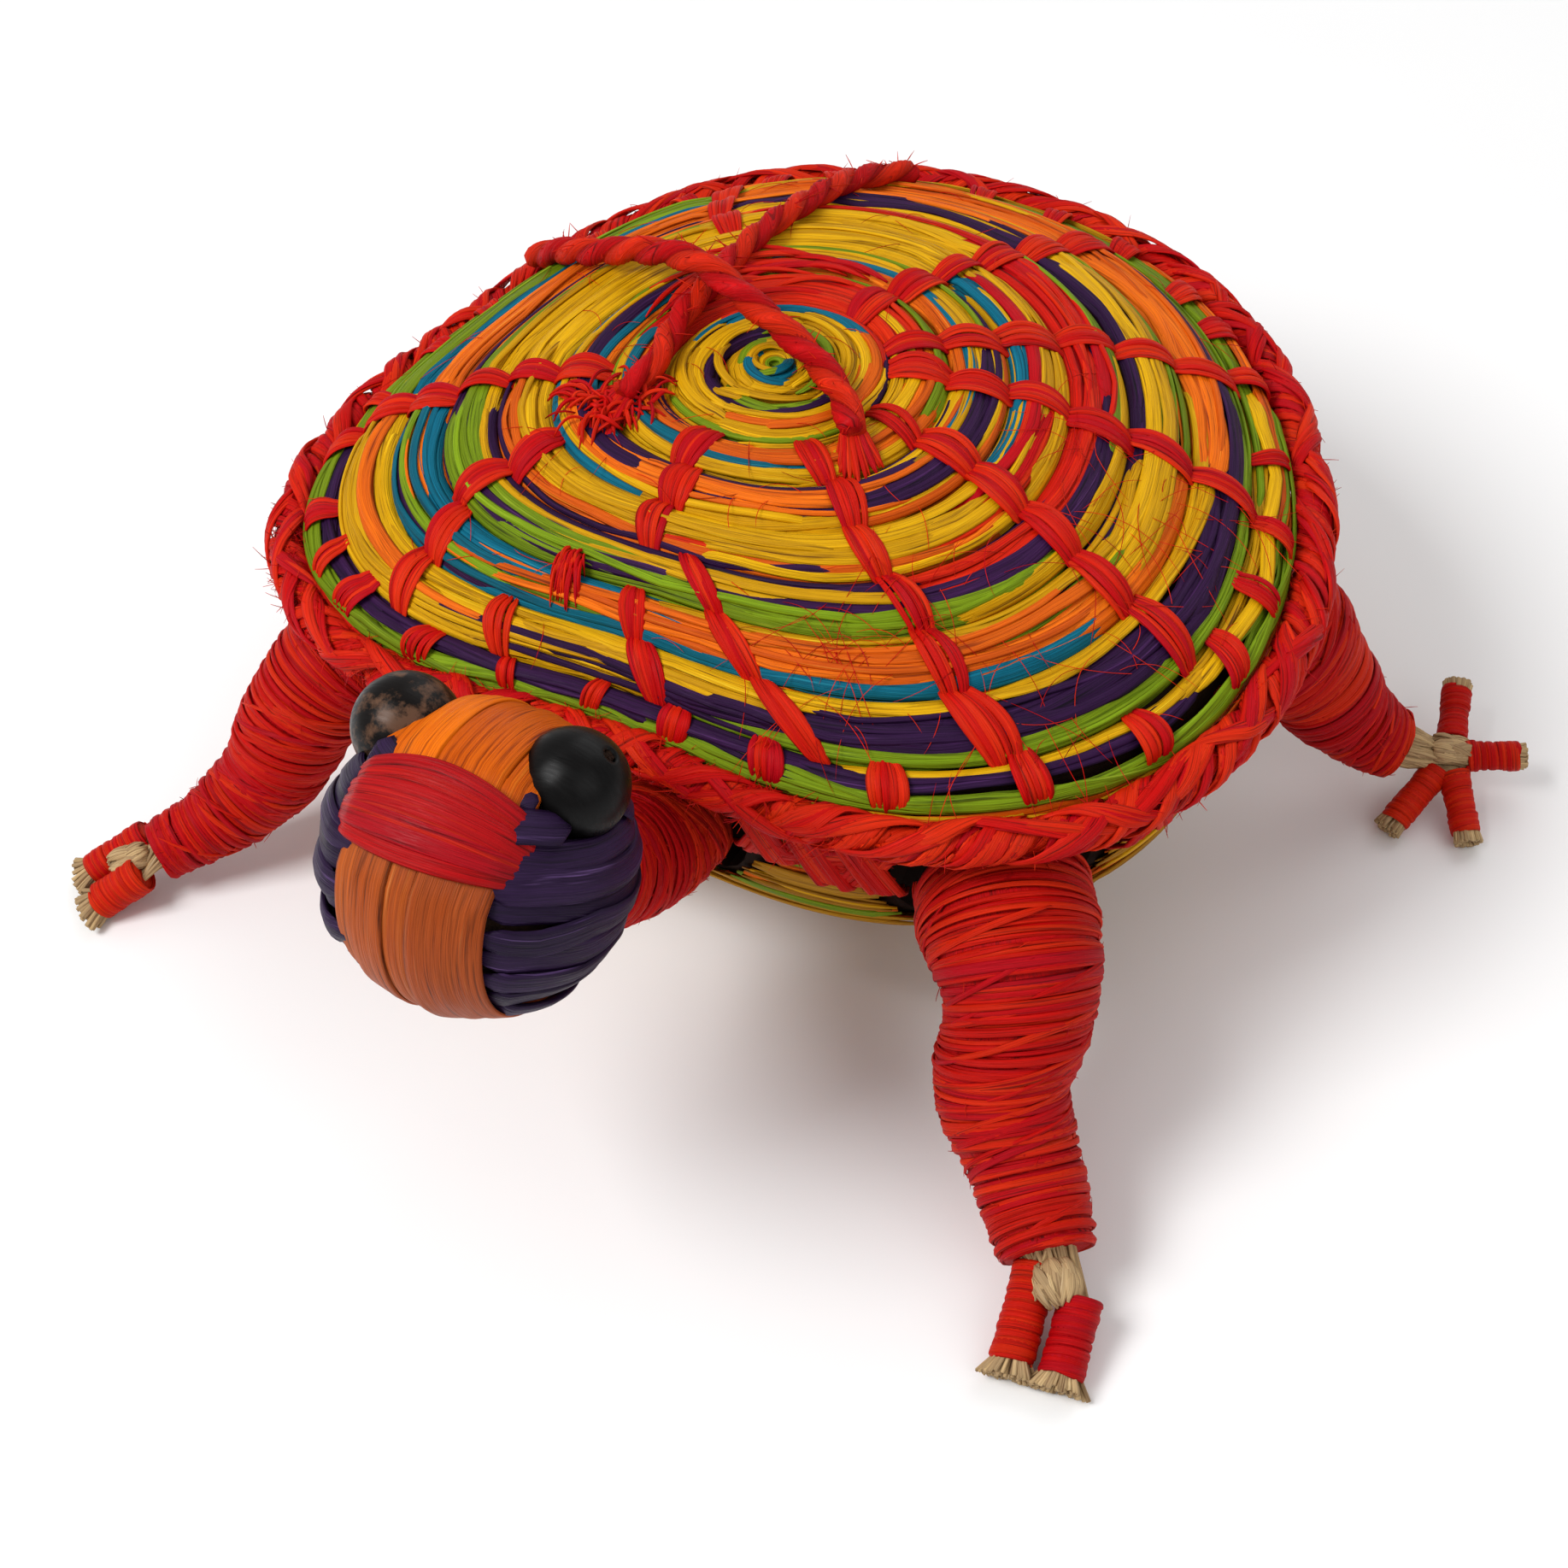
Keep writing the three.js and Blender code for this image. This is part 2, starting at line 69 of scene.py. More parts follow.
LEGS = {
    "front_left": dict(
        route=((51, -40, 36.5), (57.6, -51, 34.2), (62, -58.5, 27), (65, -64, 18.5), (69.6, -70.5, 11.8),
               (77.4, -80.5, 5.9)),
        radii=(10.4, 11, 9.8, 8.6, 7.4, 5.6), wrapped=11 / 12,
        toes=((-82, -20, 12.5, 3.3), (-82, -20, 12.5, -3.3)),
        sways=(((-1.9, -1.0, 0), 0.56, 0.14), ((1.0, 0.5, 0), 0.34, 0.12)), flare=1.1),
    "front_right": dict(
        route=((-44, -32.5, 36.5), (-52, -41.5, 34), (-57.6, -47.6, 26), (-61.5, -52.5, 17), (-68, -60, 10.5),
               (-78, -70, 5.8)),
        radii=(8.6, 8.6, 8.2, 7.2, 5.4, 4.2), wrapped=11 / 12,
        toes=((-137, -27, 9, 3.2), (-137, -27, 9, -3.2))),
    "hind_left": dict(
        route=((58, 15.4, 36), (66.5, 18.6, 33.2), (73, 21.2, 25.6), (78.4, 23.2, 17), (85, 26, 10),
               (94, 29.6, 7)),
        radii=(10.4, 10.6, 9, 7.2, 5.4, 4.2), wrapped=10 / 12,
        toes=((104, 10, 13.5, 0), (22, 2, 11, 0), (-58, -22, 14, 0), (-110, -20, 15, 0))),
    "hind_right": dict(
        route=((-46, 13.4, 36), (-54.5, 16.6, 33.2), (-61, 19.2, 25.6), (-66.4, 21.2, 17), (-73, 24, 10),
               (-82, 27.6, 7)),
        radii=(10.4, 10.6, 9, 7.2, 5.4, 4.2), wrapped=10 / 12,
        toes=((76, 10, 13.5, 0), (158, 2, 11, 0), (-122, -22, 14, 0), (-70, -20, 15, 0))),
}
STITCH_LINES = (
    ((-47, 0.26), (-38, 0.9)), ((-98, 0.2), (-92, 0.5)), ((-84, 0.53), (-57, 0.9)), ((-92, 0.66), (-80, 0.9)),
    ((-111, 0.74), (-106, 0.9)), ((-137, 0.42), (-124, 0.9)), ((-161, 0.3), (-163, 0.9)),
    ((22, 0.24), (12, 0.9)), ((42, 0.28), (36, 0.9)), ((-10, 0.28), (-15, 0.9)), ((72, 0.22), (68, 0.9)),
    ((128, 0.62), (124, 0.9)),
)
TOP_CORDS = {
    "top_cord_long": dict(radius=2.1, route=(
        (-57, 27, 3.1), (-48, 22, 3), (-39.3, 17.8, 3.2), (-28.7, 14.4, 5), (-16.5, 9.8, 6.9), (-5, 5, 5),
        (5.4, 0.3, 3.4), (12.4, -4.8, 2.9), (17.5, -11, 2.9))),
    "top_cord_short": dict(radius=1.9, route=(
        (-11, 67, 2.4), (-15, 56, 2.4), (-16, 41.6, 2.4), (-16.8, 27.1, 2.4), (-16.5, 13, 2.4),
        (-16, 0.2, 2.4), (-14.5, -7.5, 2.4), (-16, -15, 2.4))),
}
SIDE_LACINGS = {
    "side_lacing_front_left": (-66, -53), "side_lacing_front_right": (-126, -100),
    "side_lacing_left": (-22, 0), "side_lacing_right": (180, 204), "side_lacing_rear": (40, 140),
}
BELLY_PROFILE = ((0, 18), (16, 18), (24, 18.9), (34, 18.2), (43, 19.2), (52, 19.4), (58.4, 22.6), (61.8, 28),
                 (63, 34), (62.2, 37.5), (62.8, 41), (61, 45.2))

# The dyes of each coil row's strands, from its inner side to its outer side, in sections of the turn that
# are centred on these angles. The ninth row is the edge, which turns under.
SECTIONS = {
    -135: "TGYY YPYY POTY PPOY YYOP YGPO TTGP YOYY PGRR",
    -75: "GTYY PYYG OOTY POOY YYYO PYGG POOT YYPP PGYG",
    0: "GYYY YYOY YYOO YYPO YRRY RRPY YGOO YPPG YGOR",
    55: "TYYG YYYP YYYG OTYY TTYY RRRG PYYG OOOG GORR",
    120: "GYYY YYTR RRRR OYYG YYYY YYOY YPOY OOYO OYOR",
    180: "YGYY PYYY YRTG TPOT YYYO YYGP OOOT TGGY GYRR",
}

MM = 0.001
rng = np.random.default_rng(11)
core_low, core_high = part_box("head_core")
ORIGIN = (np.array(core_low) + np.array(core_high)) / 2 - HEAD_CENTRE * MM
ORIGIN[2] = 0.0  # both frames stand on the floor


def row_frame(points):
    return np.asarray(points, float) * MM + ORIGIN


def add_camera():
    """The photograph's view: from the front left, looking down at about 46 degrees."""
    camera = bpy.data.objects.new("camera", bpy.data.cameras.new("camera"))
    bpy.context.scene.collection.objects.link(camera)
    camera.data.lens = 61.62
    camera.data.sensor_width = 36.0
    camera.data.clip_start = 0.01
    right, up, back = (0.8879, 0.4560, -0.0598), (-0.2952, 0.6649, 0.6861), (0.3527, -0.5916, 0.7250)
    turn = Matrix((right, up, back)).transposed().to_4x4()
    camera.matrix_world = Matrix.Translation((0.14245, -0.24149, 0.3016)) @ turn
    bpy.context.scene.camera = camera


def polar(reach, angle, height):
    """Points, or ways out, at a reach and an angle from the coil's centre and at a height."""
    height = np.broadcast_to(height, np.shape(angle))
    return np.column_stack([reach * np.cos(angle), reach * np.sin(angle), height])


# ---------------------------------------------------------------- shapes of the coil

def wave(angle):
    """How far the plan swells or draws in at an angle, as a share of its radius."""
    return sum(cosine * np.cos(order * angle) + sine * np.sin(order * angle)
               for order, (cosine, sine) in enumerate(PLAN_WAVES, 1))


def plan_radius(radius, angle):
    return radius * (1 + wave(angle) * radius / PLAN_RADIUS)


def dome(share):
    return RIM_HEIGHT + DOME_RISE * (1 - np.abs(share) ** DOME_POWER)


def dome_over(x, y):
    angle, reach = math.atan2(y, x), math.hypot(x, y)
    radius = reach
    for _ in range(12):
        radius = reach / (1 + wave(angle) * radius / PLAN_RADIUS)
    return float(dome(radius / PLAN_RADIUS))


class Profile:
    """A [radius, height] outline, read by its length from the centre outwards."""

    def __init__(self, points):
        self.points = np.array(points, float)
        steps = np.hypot(*np.diff(self.points, axis=0).T)
        self.lengths = np.concatenate([[0], np.cumsum(steps)])
        self.total = self.lengths[-1]
        self.widest = int(np.argmax(self.points[:, 0])) + 1

    def at(self, length):
        radius = np.interp(length, self.lengths, self.points[:, 0])
        height = np.interp(length, self.lengths, self.points[:, 1])
        return radius, height

    def slope(self, length):
        near, far = self.at(length - 0.6), self.at(length + 0.6)
        run, rise = far[0] - near[0], far[1] - near[1]
        size = np.maximum(np.hypot(run, rise), 1e-6)
        return run / size, rise / size

    def length_at_radius(self, radius):
        return float(np.interp(radius, self.points[:self.widest, 0], self.lengths[:self.widest]))


def rounded(points, times=3):
    """Cuts a polyline's corners until it is smooth, and keeps its ends."""
    points = np.array(points, float)
    for _ in range(times):
        cut = np.empty((2 * len(points), 2))
        cut[0::2][:-1] = points[:-1] * 0.75 + points[1:] * 0.25
        cut[1::2][:-1] = points[:-1] * 0.25 + points[1:] * 0.75
        points = np.vstack([points[:1], cut[:-2], points[-1:]])
    return points


def carapace_profile():
    radii = np.linspace(0, COIL_EDGE, 60)
    top = np.column_stack([radii, dome(radii / PLAN_RADIUS)])
    edge = rounded([top[-1], (66.0, 56.2), (67.3, 53.5), (66.9, 50.5), (64.5, 48.4), (61, 48.6)])
    return Profile(np.vstack([top, edge[1:]]))


CARAPACE = carapace_profile()
BELLY = Profile(rounded(BELLY_PROFILE))


class Coil:
    """Rows of fibre bundles laid round a profile: finds points on the bundles' rounded tops."""

    def __init__(self, profile, bounds, depth, flip=False):
        self.profile, self.bounds, self.depth, self.flip = profile, np.array(bounds), depth, flip

    def place(self, length, angle, lift=0.0, follow=1.0):
        length, angle = np.broadcast_arrays(np.asarray(length, float), np.asarray(angle, float))
        row = np.clip(np.searchsorted(self.bounds, length, side="right") - 1, 0, len(self.bounds) - 2)
        low, high = self.bounds[row], self.bounds[row + 1]
        across = np.clip(2 * (length - low) / (high - low) - 1, -1, 1) * 0.96
        arch = np.sqrt(1 - across ** 2)
        sink = self.depth * (arch - 1) * follow
        lean = -self.depth * across / arch * 2 * 0.96 / (high - low) * follow
        lean = np.clip(lean, -1.2, 1.2)
        radius, height = self.profile.at(length)
        run, rise = self.profile.slope(length)
        out_r, out_z = (rise, -run) if self.flip else (-rise, run)
        radius = radius + out_r * (sink + lift)
        height = height + out_z * (sink + lift)
        face_r, face_z = out_r - lean * run, out_z - lean * rise
        reach = plan_radius(radius, angle)
        faces = polar(face_r, angle, face_z)
        return polar(reach, angle, height), faces / np.linalg.norm(faces, axis=1, keepdims=True)


row_starts = [CARAPACE.length_at_radius(COIL_EDGE / COIL_ROWS * row) for row in range(COIL_ROWS + 1)]
TOP_COIL = Coil(CARAPACE, [*row_starts, CARAPACE.total - 2.5], 2.9)
BELLY_ROWS = 10
BELLY_COIL = Coil(BELLY, np.linspace(0, BELLY.total, BELLY_ROWS + 1), 1.2, flip=True)

# ---------------------------------------------------------------- fibre meshes

FLAT = np.array([(1, 0), (0.72, 0.7), (0.26, 1), (-0.26, 1), (-0.72, 0.7), (-1, 0), (-0.5, -0.8),
                 (0.5, -0.8)])


def circle(sides):
    return np.array([(math.cos(a), math.sin(a)) for a in np.arange(sides) / sides * 2 * math.pi])


ROUND = circle(6)
THREAD = circle(4)


def unit(vectors):
    return vectors / np.maximum(np.linalg.norm(vectors, axis=-1, keepdims=True), 1e-9)


def ring_faces(start, count, sides, closed=False):
    """The faces that join rings of points, numbered from start; closed joins the last ring to the first."""
    first = start + np.arange(count if closed else count - 1)[:, None] * sides
    last = start + (np.arange(1, count + 1 if closed else count)[:, None] % count) * sides
    here, there = np.arange(sides)[None], (np.arange(sides)[None] + 1) % sides
    quads = np.stack([first + here, last + here, last + there, first + there], axis=-1)
    return quads.reshape(-1, 4).tolist()


def new_piece(name, points, faces, marks=None, material=None, smooth=True):
    """An object from points in millimetres, with the fibre marks that its material reads."""
    mesh = bpy.data.meshes.new(name)
    mesh.from_pydata(row_frame(points).tolist(), [], faces)
    if marks is not None:
        mesh.attributes.new("fibre", "FLOAT_VECTOR", "POINT")
        mesh.attributes["fibre"].data.foreach_set("vector", marks.ravel())
    if material:
        mesh.materials.append(material)
    if smooth:
        mesh.shade_smooth()
    return bpy.data.objects.new(name, mesh)


class Fibres:
    """Collects swept fibres that become one piece. Each vertex keeps how far it lies along and across its
    fibre, and the fibre's own number, for the material."""

    def __init__(self):
        self.points, self.faces, self.marks, self.count = [], [], [], 0

    def sweep(self, path, up, half, thick, section=FLAT, taper=0.0, closed=False, ribs=0.22):
        path = np.asarray(path, float)
        count, sides = len(path), len(section)
        if closed:
            tangent = np.roll(path, -1, axis=0) - np.roll(path, 1, axis=0)
        else:
            tangent = np.gradient(path, axis=0)
        tangent = unit(tangent)
        up = np.broadcast_to(np.asarray(up, float), path.shape)
        up = unit(up - tangent * np.sum(up * tangent, axis=1, keepdims=True))
        side = np.cross(tangent, up)
        half = np.broadcast_to(np.asarray(half, float), (count,)).copy()
        thick = np.broadcast_to(np.asarray(thick, float), (count,)).copy()
        if taper and not closed:
            ends = np.minimum(np.arange(count), np.arange(count)[::-1]) / max(2.0, count * taper)
            narrow = np.clip(0.25 + 0.75 * ends, 0, 1)
            half *= narrow
            thick *= np.clip(0.5 + 0.5 * ends, 0, 1)
        shape = section.copy()
        if ribs:
            shape[:, 1] *= 1 + ribs * rng.uniform(-1, 1, sides)
        ring = (path[:, None] + side[:, None] * shape[None, :, :1] * half[:, None, None]
                + up[:, None] * shape[None, :, 1:] * thick[:, None, None])
        steps = np.linalg.norm(np.diff(path, axis=0), axis=1)
        along = np.concatenate([[0], np.cumsum(steps)])
        marks = np.empty((count, sides, 3))
        marks[..., 0] = along[:, None]
        marks[..., 1] = shape[None, :, 0] * half[:, None]
        marks[..., 2] = rng.uniform()
        self.add_skin(ring, marks, closed)

    def add_skin(self, ring, marks, closed=False):
        """Joins rings of points into one skin, with a cap at each end unless it is closed."""
        count, sides = ring.shape[:2]
        self.points.append(ring.reshape(-1, 3))
        self.faces.extend(ring_faces(self.count, count, sides, closed))
        if not closed:
            self.faces.append(list(range(self.count, self.count + sides)))
            end = self.count + (count - 1) * sides
            self.faces.append(list(range(end + sides - 1, end - 1, -1)))
        self.marks.append(marks.reshape(-1, 3))
        self.count += count * sides

    def build(self, name, material, body, slot=None, replaces=()):
        points, marks = np.concatenate(self.points), np.concatenate(self.marks)
        return keep(new_piece(name, points, self.faces, marks, material), body, replaces)

    def build_red(self, name, replaces=()):
        """The red fibre that the shell is sewn, corded and lashed with."""
        return self.build(name, RED_CORD, "shell", "red_cord", replaces)


def keep(piece, body, replaces=()):
    """Puts a finished piece in the scene, on its body, for the CAD nodes that it stands for."""
    bpy.context.scene.collection.objects.link(piece)
    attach(piece, body)
    if replaces:
        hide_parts(*replaces)
    return piece


def curve_through(points, count=None, step=1.5):
    """Points evenly spaced along a centripetal Catmull-Rom curve through the given ones."""
    points = np.array(points, float)
    points = np.vstack([2 * points[0] - points[1], points, 2 * points[-1] - points[-2]])
    dense = []
    for p0, p1, p2, p3 in zip(points[:-3], points[1:-2], points[2:-1], points[3:]):
        spans = ((p0, p1), (p1, p2), (p2, p3))
        d0, d1, d2 = (max(float(np.linalg.norm(b - a)) ** 0.5, 1e-4) for a, b in spans)
        m1 = ((p1 - p0) / d0 - (p2 - p0) / (d0 + d1) + (p2 - p1) / d1) * d1
        m2 = ((p2 - p1) / d1 - (p3 - p1) / (d1 + d2) + (p3 - p2) / d2) * d1
        t = np.linspace(0, 1, 40, endpoint=False)[:, None]
        dense.append((2 * t ** 3 - 3 * t ** 2 + 1) * p1 + (t ** 3 - 2 * t ** 2 + t) * m1
                     + (-2 * t ** 3 + 3 * t ** 2) * p2 + (t ** 3 - t ** 2) * m2)
    dense = np.vstack([*dense, points[-2:-1]])
    lengths = np.concatenate([[0], np.cumsum(np.linalg.norm(np.diff(dense, axis=0), axis=1))])
    count = count or max(4, int(lengths[-1] / step) + 1)
    at = np.linspace(0, lengths[-1], count)
    return np.column_stack([np.interp(at, lengths, dense[:, axis]) for axis in range(3)]), lengths[-1]


class Tube:
    """A curve with a steady frame and a radius along it, for winding fibres round."""

    def __init__(self, route, radii, count=240):
        self.centre, self.length = curve_through(route, count)
        self.tangent = unit(np.gradient(self.centre, axis=0))
        normal = unit(np.cross(self.tangent[0], (0.31, 0.17, 0.93)))
        normals = []
        for tangent in self.tangent:
            normal = unit(normal - tangent * np.dot(normal, tangent))
            normals.append(normal)
        self.normal = np.array(normals)
        self.binormal = np.cross(self.tangent, self.normal)
        self.shares = np.linspace(0, 1, count)
        self.radii = np.asarray(radii, float)
        self.lumps = 0.0

    def sway(self, shift, middle, width):
        """Bends the tube aside about one share of its length."""
        bump = np.exp(-((self.shares - middle) / width) ** 2)[:, None]
        self.centre = self.centre + np.array(shift) * bump

    def flare(self, size, end):
        """Widens the tube towards its root, where the threads spread out."""
        share = np.clip(1 - self.shares / end, 0, 1)
        self.lumps = self.lumps + size / self.radii[0] * share ** 0.8

    def swell(self, size):
        """Makes the tube thicker and thinner along its length, at random."""
        self.lumps = size * smooth_noise(len(self.shares), 22) * np.sin(self.shares * math.pi) ** 0.5

    def read(self, table, share):
        return np.column_stack([np.interp(share, self.shares, table[:, axis]) for axis in range(3)])

    def radius(self, share):
        lumps = np.interp(share, self.shares, np.broadcast_to(self.lumps, self.shares.shape))
        return np.interp(share, np.linspace(0, 1, len(self.radii)), self.radii) * (1 + lumps)

    def at(self, share, turn, lift=0.0):
        """Points on the tube's skin, and the way out from it."""
        share, turn = np.broadcast_arrays(np.asarray(share, float), np.asarray(turn, float))
        out = (self.read(self.normal, share) * np.cos(turn)[:, None]
               + self.read(self.binormal, share) * np.sin(turn)[:, None])
        reach = self.radius(share) + lift
        return self.read(self.centre, share) + unit(out) * reach[:, None], unit(out)


def wind(fibres, tube, start, end, pitch, half, thick, lift=0.0, phase=0.0, rough=0.25, step=1.6):
    """Winds one strip round a tube from one share of its length to another."""
    turns = (end - start) * tube.length / pitch
    girth = 2 * math.pi * float(np.mean(tube.radius(np.array([start, end]))))
    count = max(8, int(turns * girth / step))
    share = np.linspace(start, end, count)
    turn = phase + np.linspace(0, turns * 2 * math.pi, count)
    wander = smooth_noise(count, 14) * rough
    share = np.clip(share + smooth_noise(count, 11) * 0.35 * rough * pitch / tube.length, 0, 1)
    points, out = tube.at(share, turn, lift + wander - thick)
    widths = half * (1 + 0.25 * smooth_noise(count, 17))
    fibres.sweep(points, out, widths, thick, taper=0.02)


def smooth_noise(count, reach):
    """A seeded wandering value from -1 to 1, which turns round about every reach steps."""
    knots = max(2, count // reach + 2)
    return np.interp(np.linspace(0, knots - 1, count), np.arange(knots), rng.uniform(-1, 1, knots))


def fuzz(fibres, points, outs, count, length, radius=0.09, spread=0.8):
    """Loose hair-thin fibres that stand off a surface."""
    picks = rng.integers(0, len(points), count)
    for pick in picks:
        base, out = points[pick], outs[pick]
        drift = unit(rng.normal(size=3))
        reach = rng.uniform(*length)
        bend = unit(rng.normal(size=3)) * reach * 0.6
        t = np.linspace(0, 1, 6)[:, None]
        flat = unit(drift - out * np.dot(drift, out))
        way = unit(out * rng.uniform(0.05, 0.5) + flat * spread)
        path = base + way * reach * t + bend * t ** 2 * (1 - 0.5 * t) - out * (0.25 + 0.3 * t ** 2)
        path[:, 2] = np.maximum(path[:, 2], 0.4)
        fibres.sweep(path, (0.3, 0.5, 0.8), radius, radius, THREAD, taper=0.2, ribs=0)


# ---------------------------------------------------------------- materials

def srgb(red, green, blue):
    def linear(value):
        value /= 255
        return value / 12.92 if value <= 0.04045 else ((value + 0.055) / 1.055) ** 2.4
    return (linear(red), linear(green), linear(blue), 1.0)


class Shader:
    """A material's node tree, with short ways to add and join nodes."""

    def __init__(self, name):
        self.material = bpy.data.materials.new(name)
        self.material.use_nodes = True
        self.tree = self.material.node_tree
        self.surface = self.tree.nodes["Principled BSDF"]

    def node(self, kind, links=None, **values):
        node = self.tree.nodes.new(f"ShaderNode{kind}")
        for key, value in values.items():
            setattr(node, key, value)
        for key, value in (links or {}).items():
            self.put(node, key, value)
        return node

    def put(self, node, key, value):
        socket = node.inputs[key]
        if isinstance(value, bpy.types.NodeSocket):
            self.tree.links.new(value, socket)
        else:
            socket.default_value = value

    def maths(self, operation, a, b=0.0):
        return self.node("Math", {0: a, 1: b}, operation=operation).outputs[0]

    def stretched(self, source, scale, shift=(0, 0, 0)):
        return self.node("Mapping", {"Vector": source, "Scale": scale, "Location": shift}).outputs[0]

    def noise(self, vector, scale=1.0, detail=2.0, rough=0.5):
        values = {"Vector": vector, "Scale": scale, "Detail": detail, "Roughness": rough}
        return self.node("TexNoise", values).outputs["Fac"]

    def ramp(self, factor, stops):
        node = self.node("ValToRGB", {"Fac": factor})
        ramp = node.color_ramp
        while len(ramp.elements) < len(stops):
            ramp.elements.new(0.5)
        for element, (position, colour) in zip(ramp.elements, stops):
            element.position = position
            element.color = colour
        return node.outputs["Color"]

    def mixed(self, factor, first, second, blend="MIX"):
        node = self.node("Mix", data_type="RGBA", blend_type=blend)
        self.put(node, 0, factor)
        self.put(node, 6, first)
        self.put(node, 7, second)
        return node.outputs[2]

    def spread(self, value, low, high):
        return self.node("MapRange", {"Value": value, "From Min": 0.3, "From Max": 0.7, "To Min": low,
                                      "To Max": high}).outputs[0]

    def bump(self, height, distance, strength=1.0, normal=None):
        node = self.node("Bump", {"Height": height, "Distance": distance, "Strength": strength})
        if normal is not None:
            self.put(node, "Normal", normal)
        return node.outputs["Normal"]


def fibre_material(name, dark, body, light, rough=(0.45, 0.72), streak=2.4, faded=0.12, depth=0.00022):
    """Dyed palm fibre: fine streaks along each strand, strands of slightly different dye, worn patches."""
    dark, body, light = srgb(*dark), srgb(*body), srgb(*light)
    shader = Shader(name)
    place = shader.node("Attribute", attribute_name="fibre").outputs["Vector"]
    lane = shader.node("SeparateXYZ", {"Vector": place}).outputs["Z"]
    streaks = shader.noise(shader.stretched(place, (0.05, streak, 31.0)), 1.0, 4.0, 0.62)
    threads = shader.noise(shader.stretched(place, (0.09, streak * 3.4, 57.0)), 1.0, 2.0, 0.5)
    patches = shader.noise(shader.stretched(place, (0.11, 0.35, 19.0)), 1.0, 2.0, 0.5)
    colour = shader.ramp(streaks, [(0.32, dark), (0.45, body), (0.6, body), (0.76, light)])
    colour = shader.mixed(shader.spread(patches, 0.0, faded), colour, light)
    grain = shader.spread(threads, 0.0, 0.42)
    colour = shader.mixed(grain, colour, dark, "MULTIPLY")
    tone = shader.node("HueSaturation", {
        "Hue": shader.node("MapRange", {"Value": lane, "To Min": 0.496, "To Max": 0.504}).outputs[0],
        "Value": shader.node("MapRange", {"Value": lane, "To Min": 0.74, "To Max": 1.1}).outputs[0],
        "Color": colour})
    shader.put(shader.surface, "Base Color", tone.outputs["Color"])
    shader.put(shader.surface, "Roughness", shader.spread(patches, *rough))
    height = shader.maths("ADD", streaks, shader.maths("MULTIPLY", threads, 0.6))
    shader.put(shader.surface, "Normal", shader.bump(height, depth, 1.0))
    shader.surface.inputs["Specular IOR Level"].default_value = 0.11
    return shader.material


def seed_material(name, base, spots, amount):
    """A polished hard seed, with brown mottling and fine scratches."""
    base, spots = srgb(*base), srgb(*spots)
    shader = Shader(name)
    place = shader.node("TexCoord").outputs["Object"]
    blotches = shader.noise(shader.stretched(place, (260, 260, 260)), 1.0, 5.0, 0.66)
    scratches = shader.noise(shader.stretched(place, (300, 2600, 900)), 1.0, 3.0, 0.5)
    stops = [(0.0, base), (1 - amount - 0.04, base), (min(0.98, 1 - amount + 0.08), spots)]
    colour = shader.ramp(blotches, stops)
    shader.put(shader.surface, "Base Color", colour)
    shader.put(shader.surface, "Roughness", shader.spread(scratches, 0.26, 0.44))
    shader.put(shader.surface, "Normal", shader.bump(scratches, 0.00005, 0.4))
    shader.surface.inputs["Specular IOR Level"].default_value = 0.13
    return shader.material


DYES = {
    "Y": fibre_material("dyed_yellow", (108, 60, 0), (224, 166, 0), (248, 206, 36)),
    "O": fibre_material("dyed_orange", (132, 42, 2), (236, 104, 8), (250, 148, 40)),
    "P": fibre_material("dyed_purple", (8, 3, 13), (48, 16, 60), (98, 54, 116)),
    "G": fibre_material("dyed_green", (54, 68, 4), (124, 152, 14), (172, 196, 52)),
    "T": fibre_material("dyed_teal", (2, 42, 60), (0, 104, 130), (40, 148, 166)),
    "R": fibre_material("dyed_red", (108, 4, 0), (214, 20, 2), (238, 54, 20)),
}
DYE_NAMES = {"Y": "yellow", "O": "orange", "P": "purple", "G": "green", "T": "teal", "R": "red"}
OCHRE = fibre_material("undyed_ochre", (92, 52, 4), (184, 128, 16), (218, 172, 56))
NATURAL = fibre_material("natural_palm", (112, 78, 46), (200, 168, 122), (234, 212, 174),
                         rough=(0.6, 0.85))
UNDER = fibre_material("coil_shadow_fibre", (10, 5, 4), (40, 22, 12), (72, 42, 20), rough=(0.7, 0.9))
RED_WRAP = fibre_material("red_wrap_fibre", (112, 5, 1), (206, 17, 2), (228, 38, 12), streak=3.2)
RED_CORD = fibre_material("red_cord_fibre", (112, 5, 1), (216, 20, 2), (240, 54, 22), streak=3.0)
HEAD_ORANGE = fibre_material("head_orange_strip", (128, 40, 0), (228, 104, 0), (250, 152, 34),
                             rough=(0.36, 0.6), streak=1.8)
# Painted shade: the chin band's orange is a darker, browner copy of the head's orange, and stands in for the
# shade under the head.
CHIN_ORANGE_SHADED = fibre_material("chin_orange_shaded_strip", (84, 32, 8), (186, 86, 26), (216, 132, 70),
                             rough=(0.36, 0.6), streak=1.8)
HEAD_RED = fibre_material("head_red_strip", (84, 3, 2), (186, 15, 8), (212, 44, 30),
                          rough=(0.34, 0.55), streak=1.8)
HEAD_PURPLE = fibre_material("head_purple_strip", (5, 2, 9), (34, 14, 48), (112, 82, 138),
                             rough=(0.34, 0.6), streak=1.8)
BLACK_SEED = seed_material("polished_black_seed", (7, 6, 6), (24, 17, 13), 0.26)
BROWN_SEED = seed_material("mottled_brown_seed", (12, 8, 7), (88, 62, 46), 0.45)


# ---------------------------------------------------------------- cords over the top

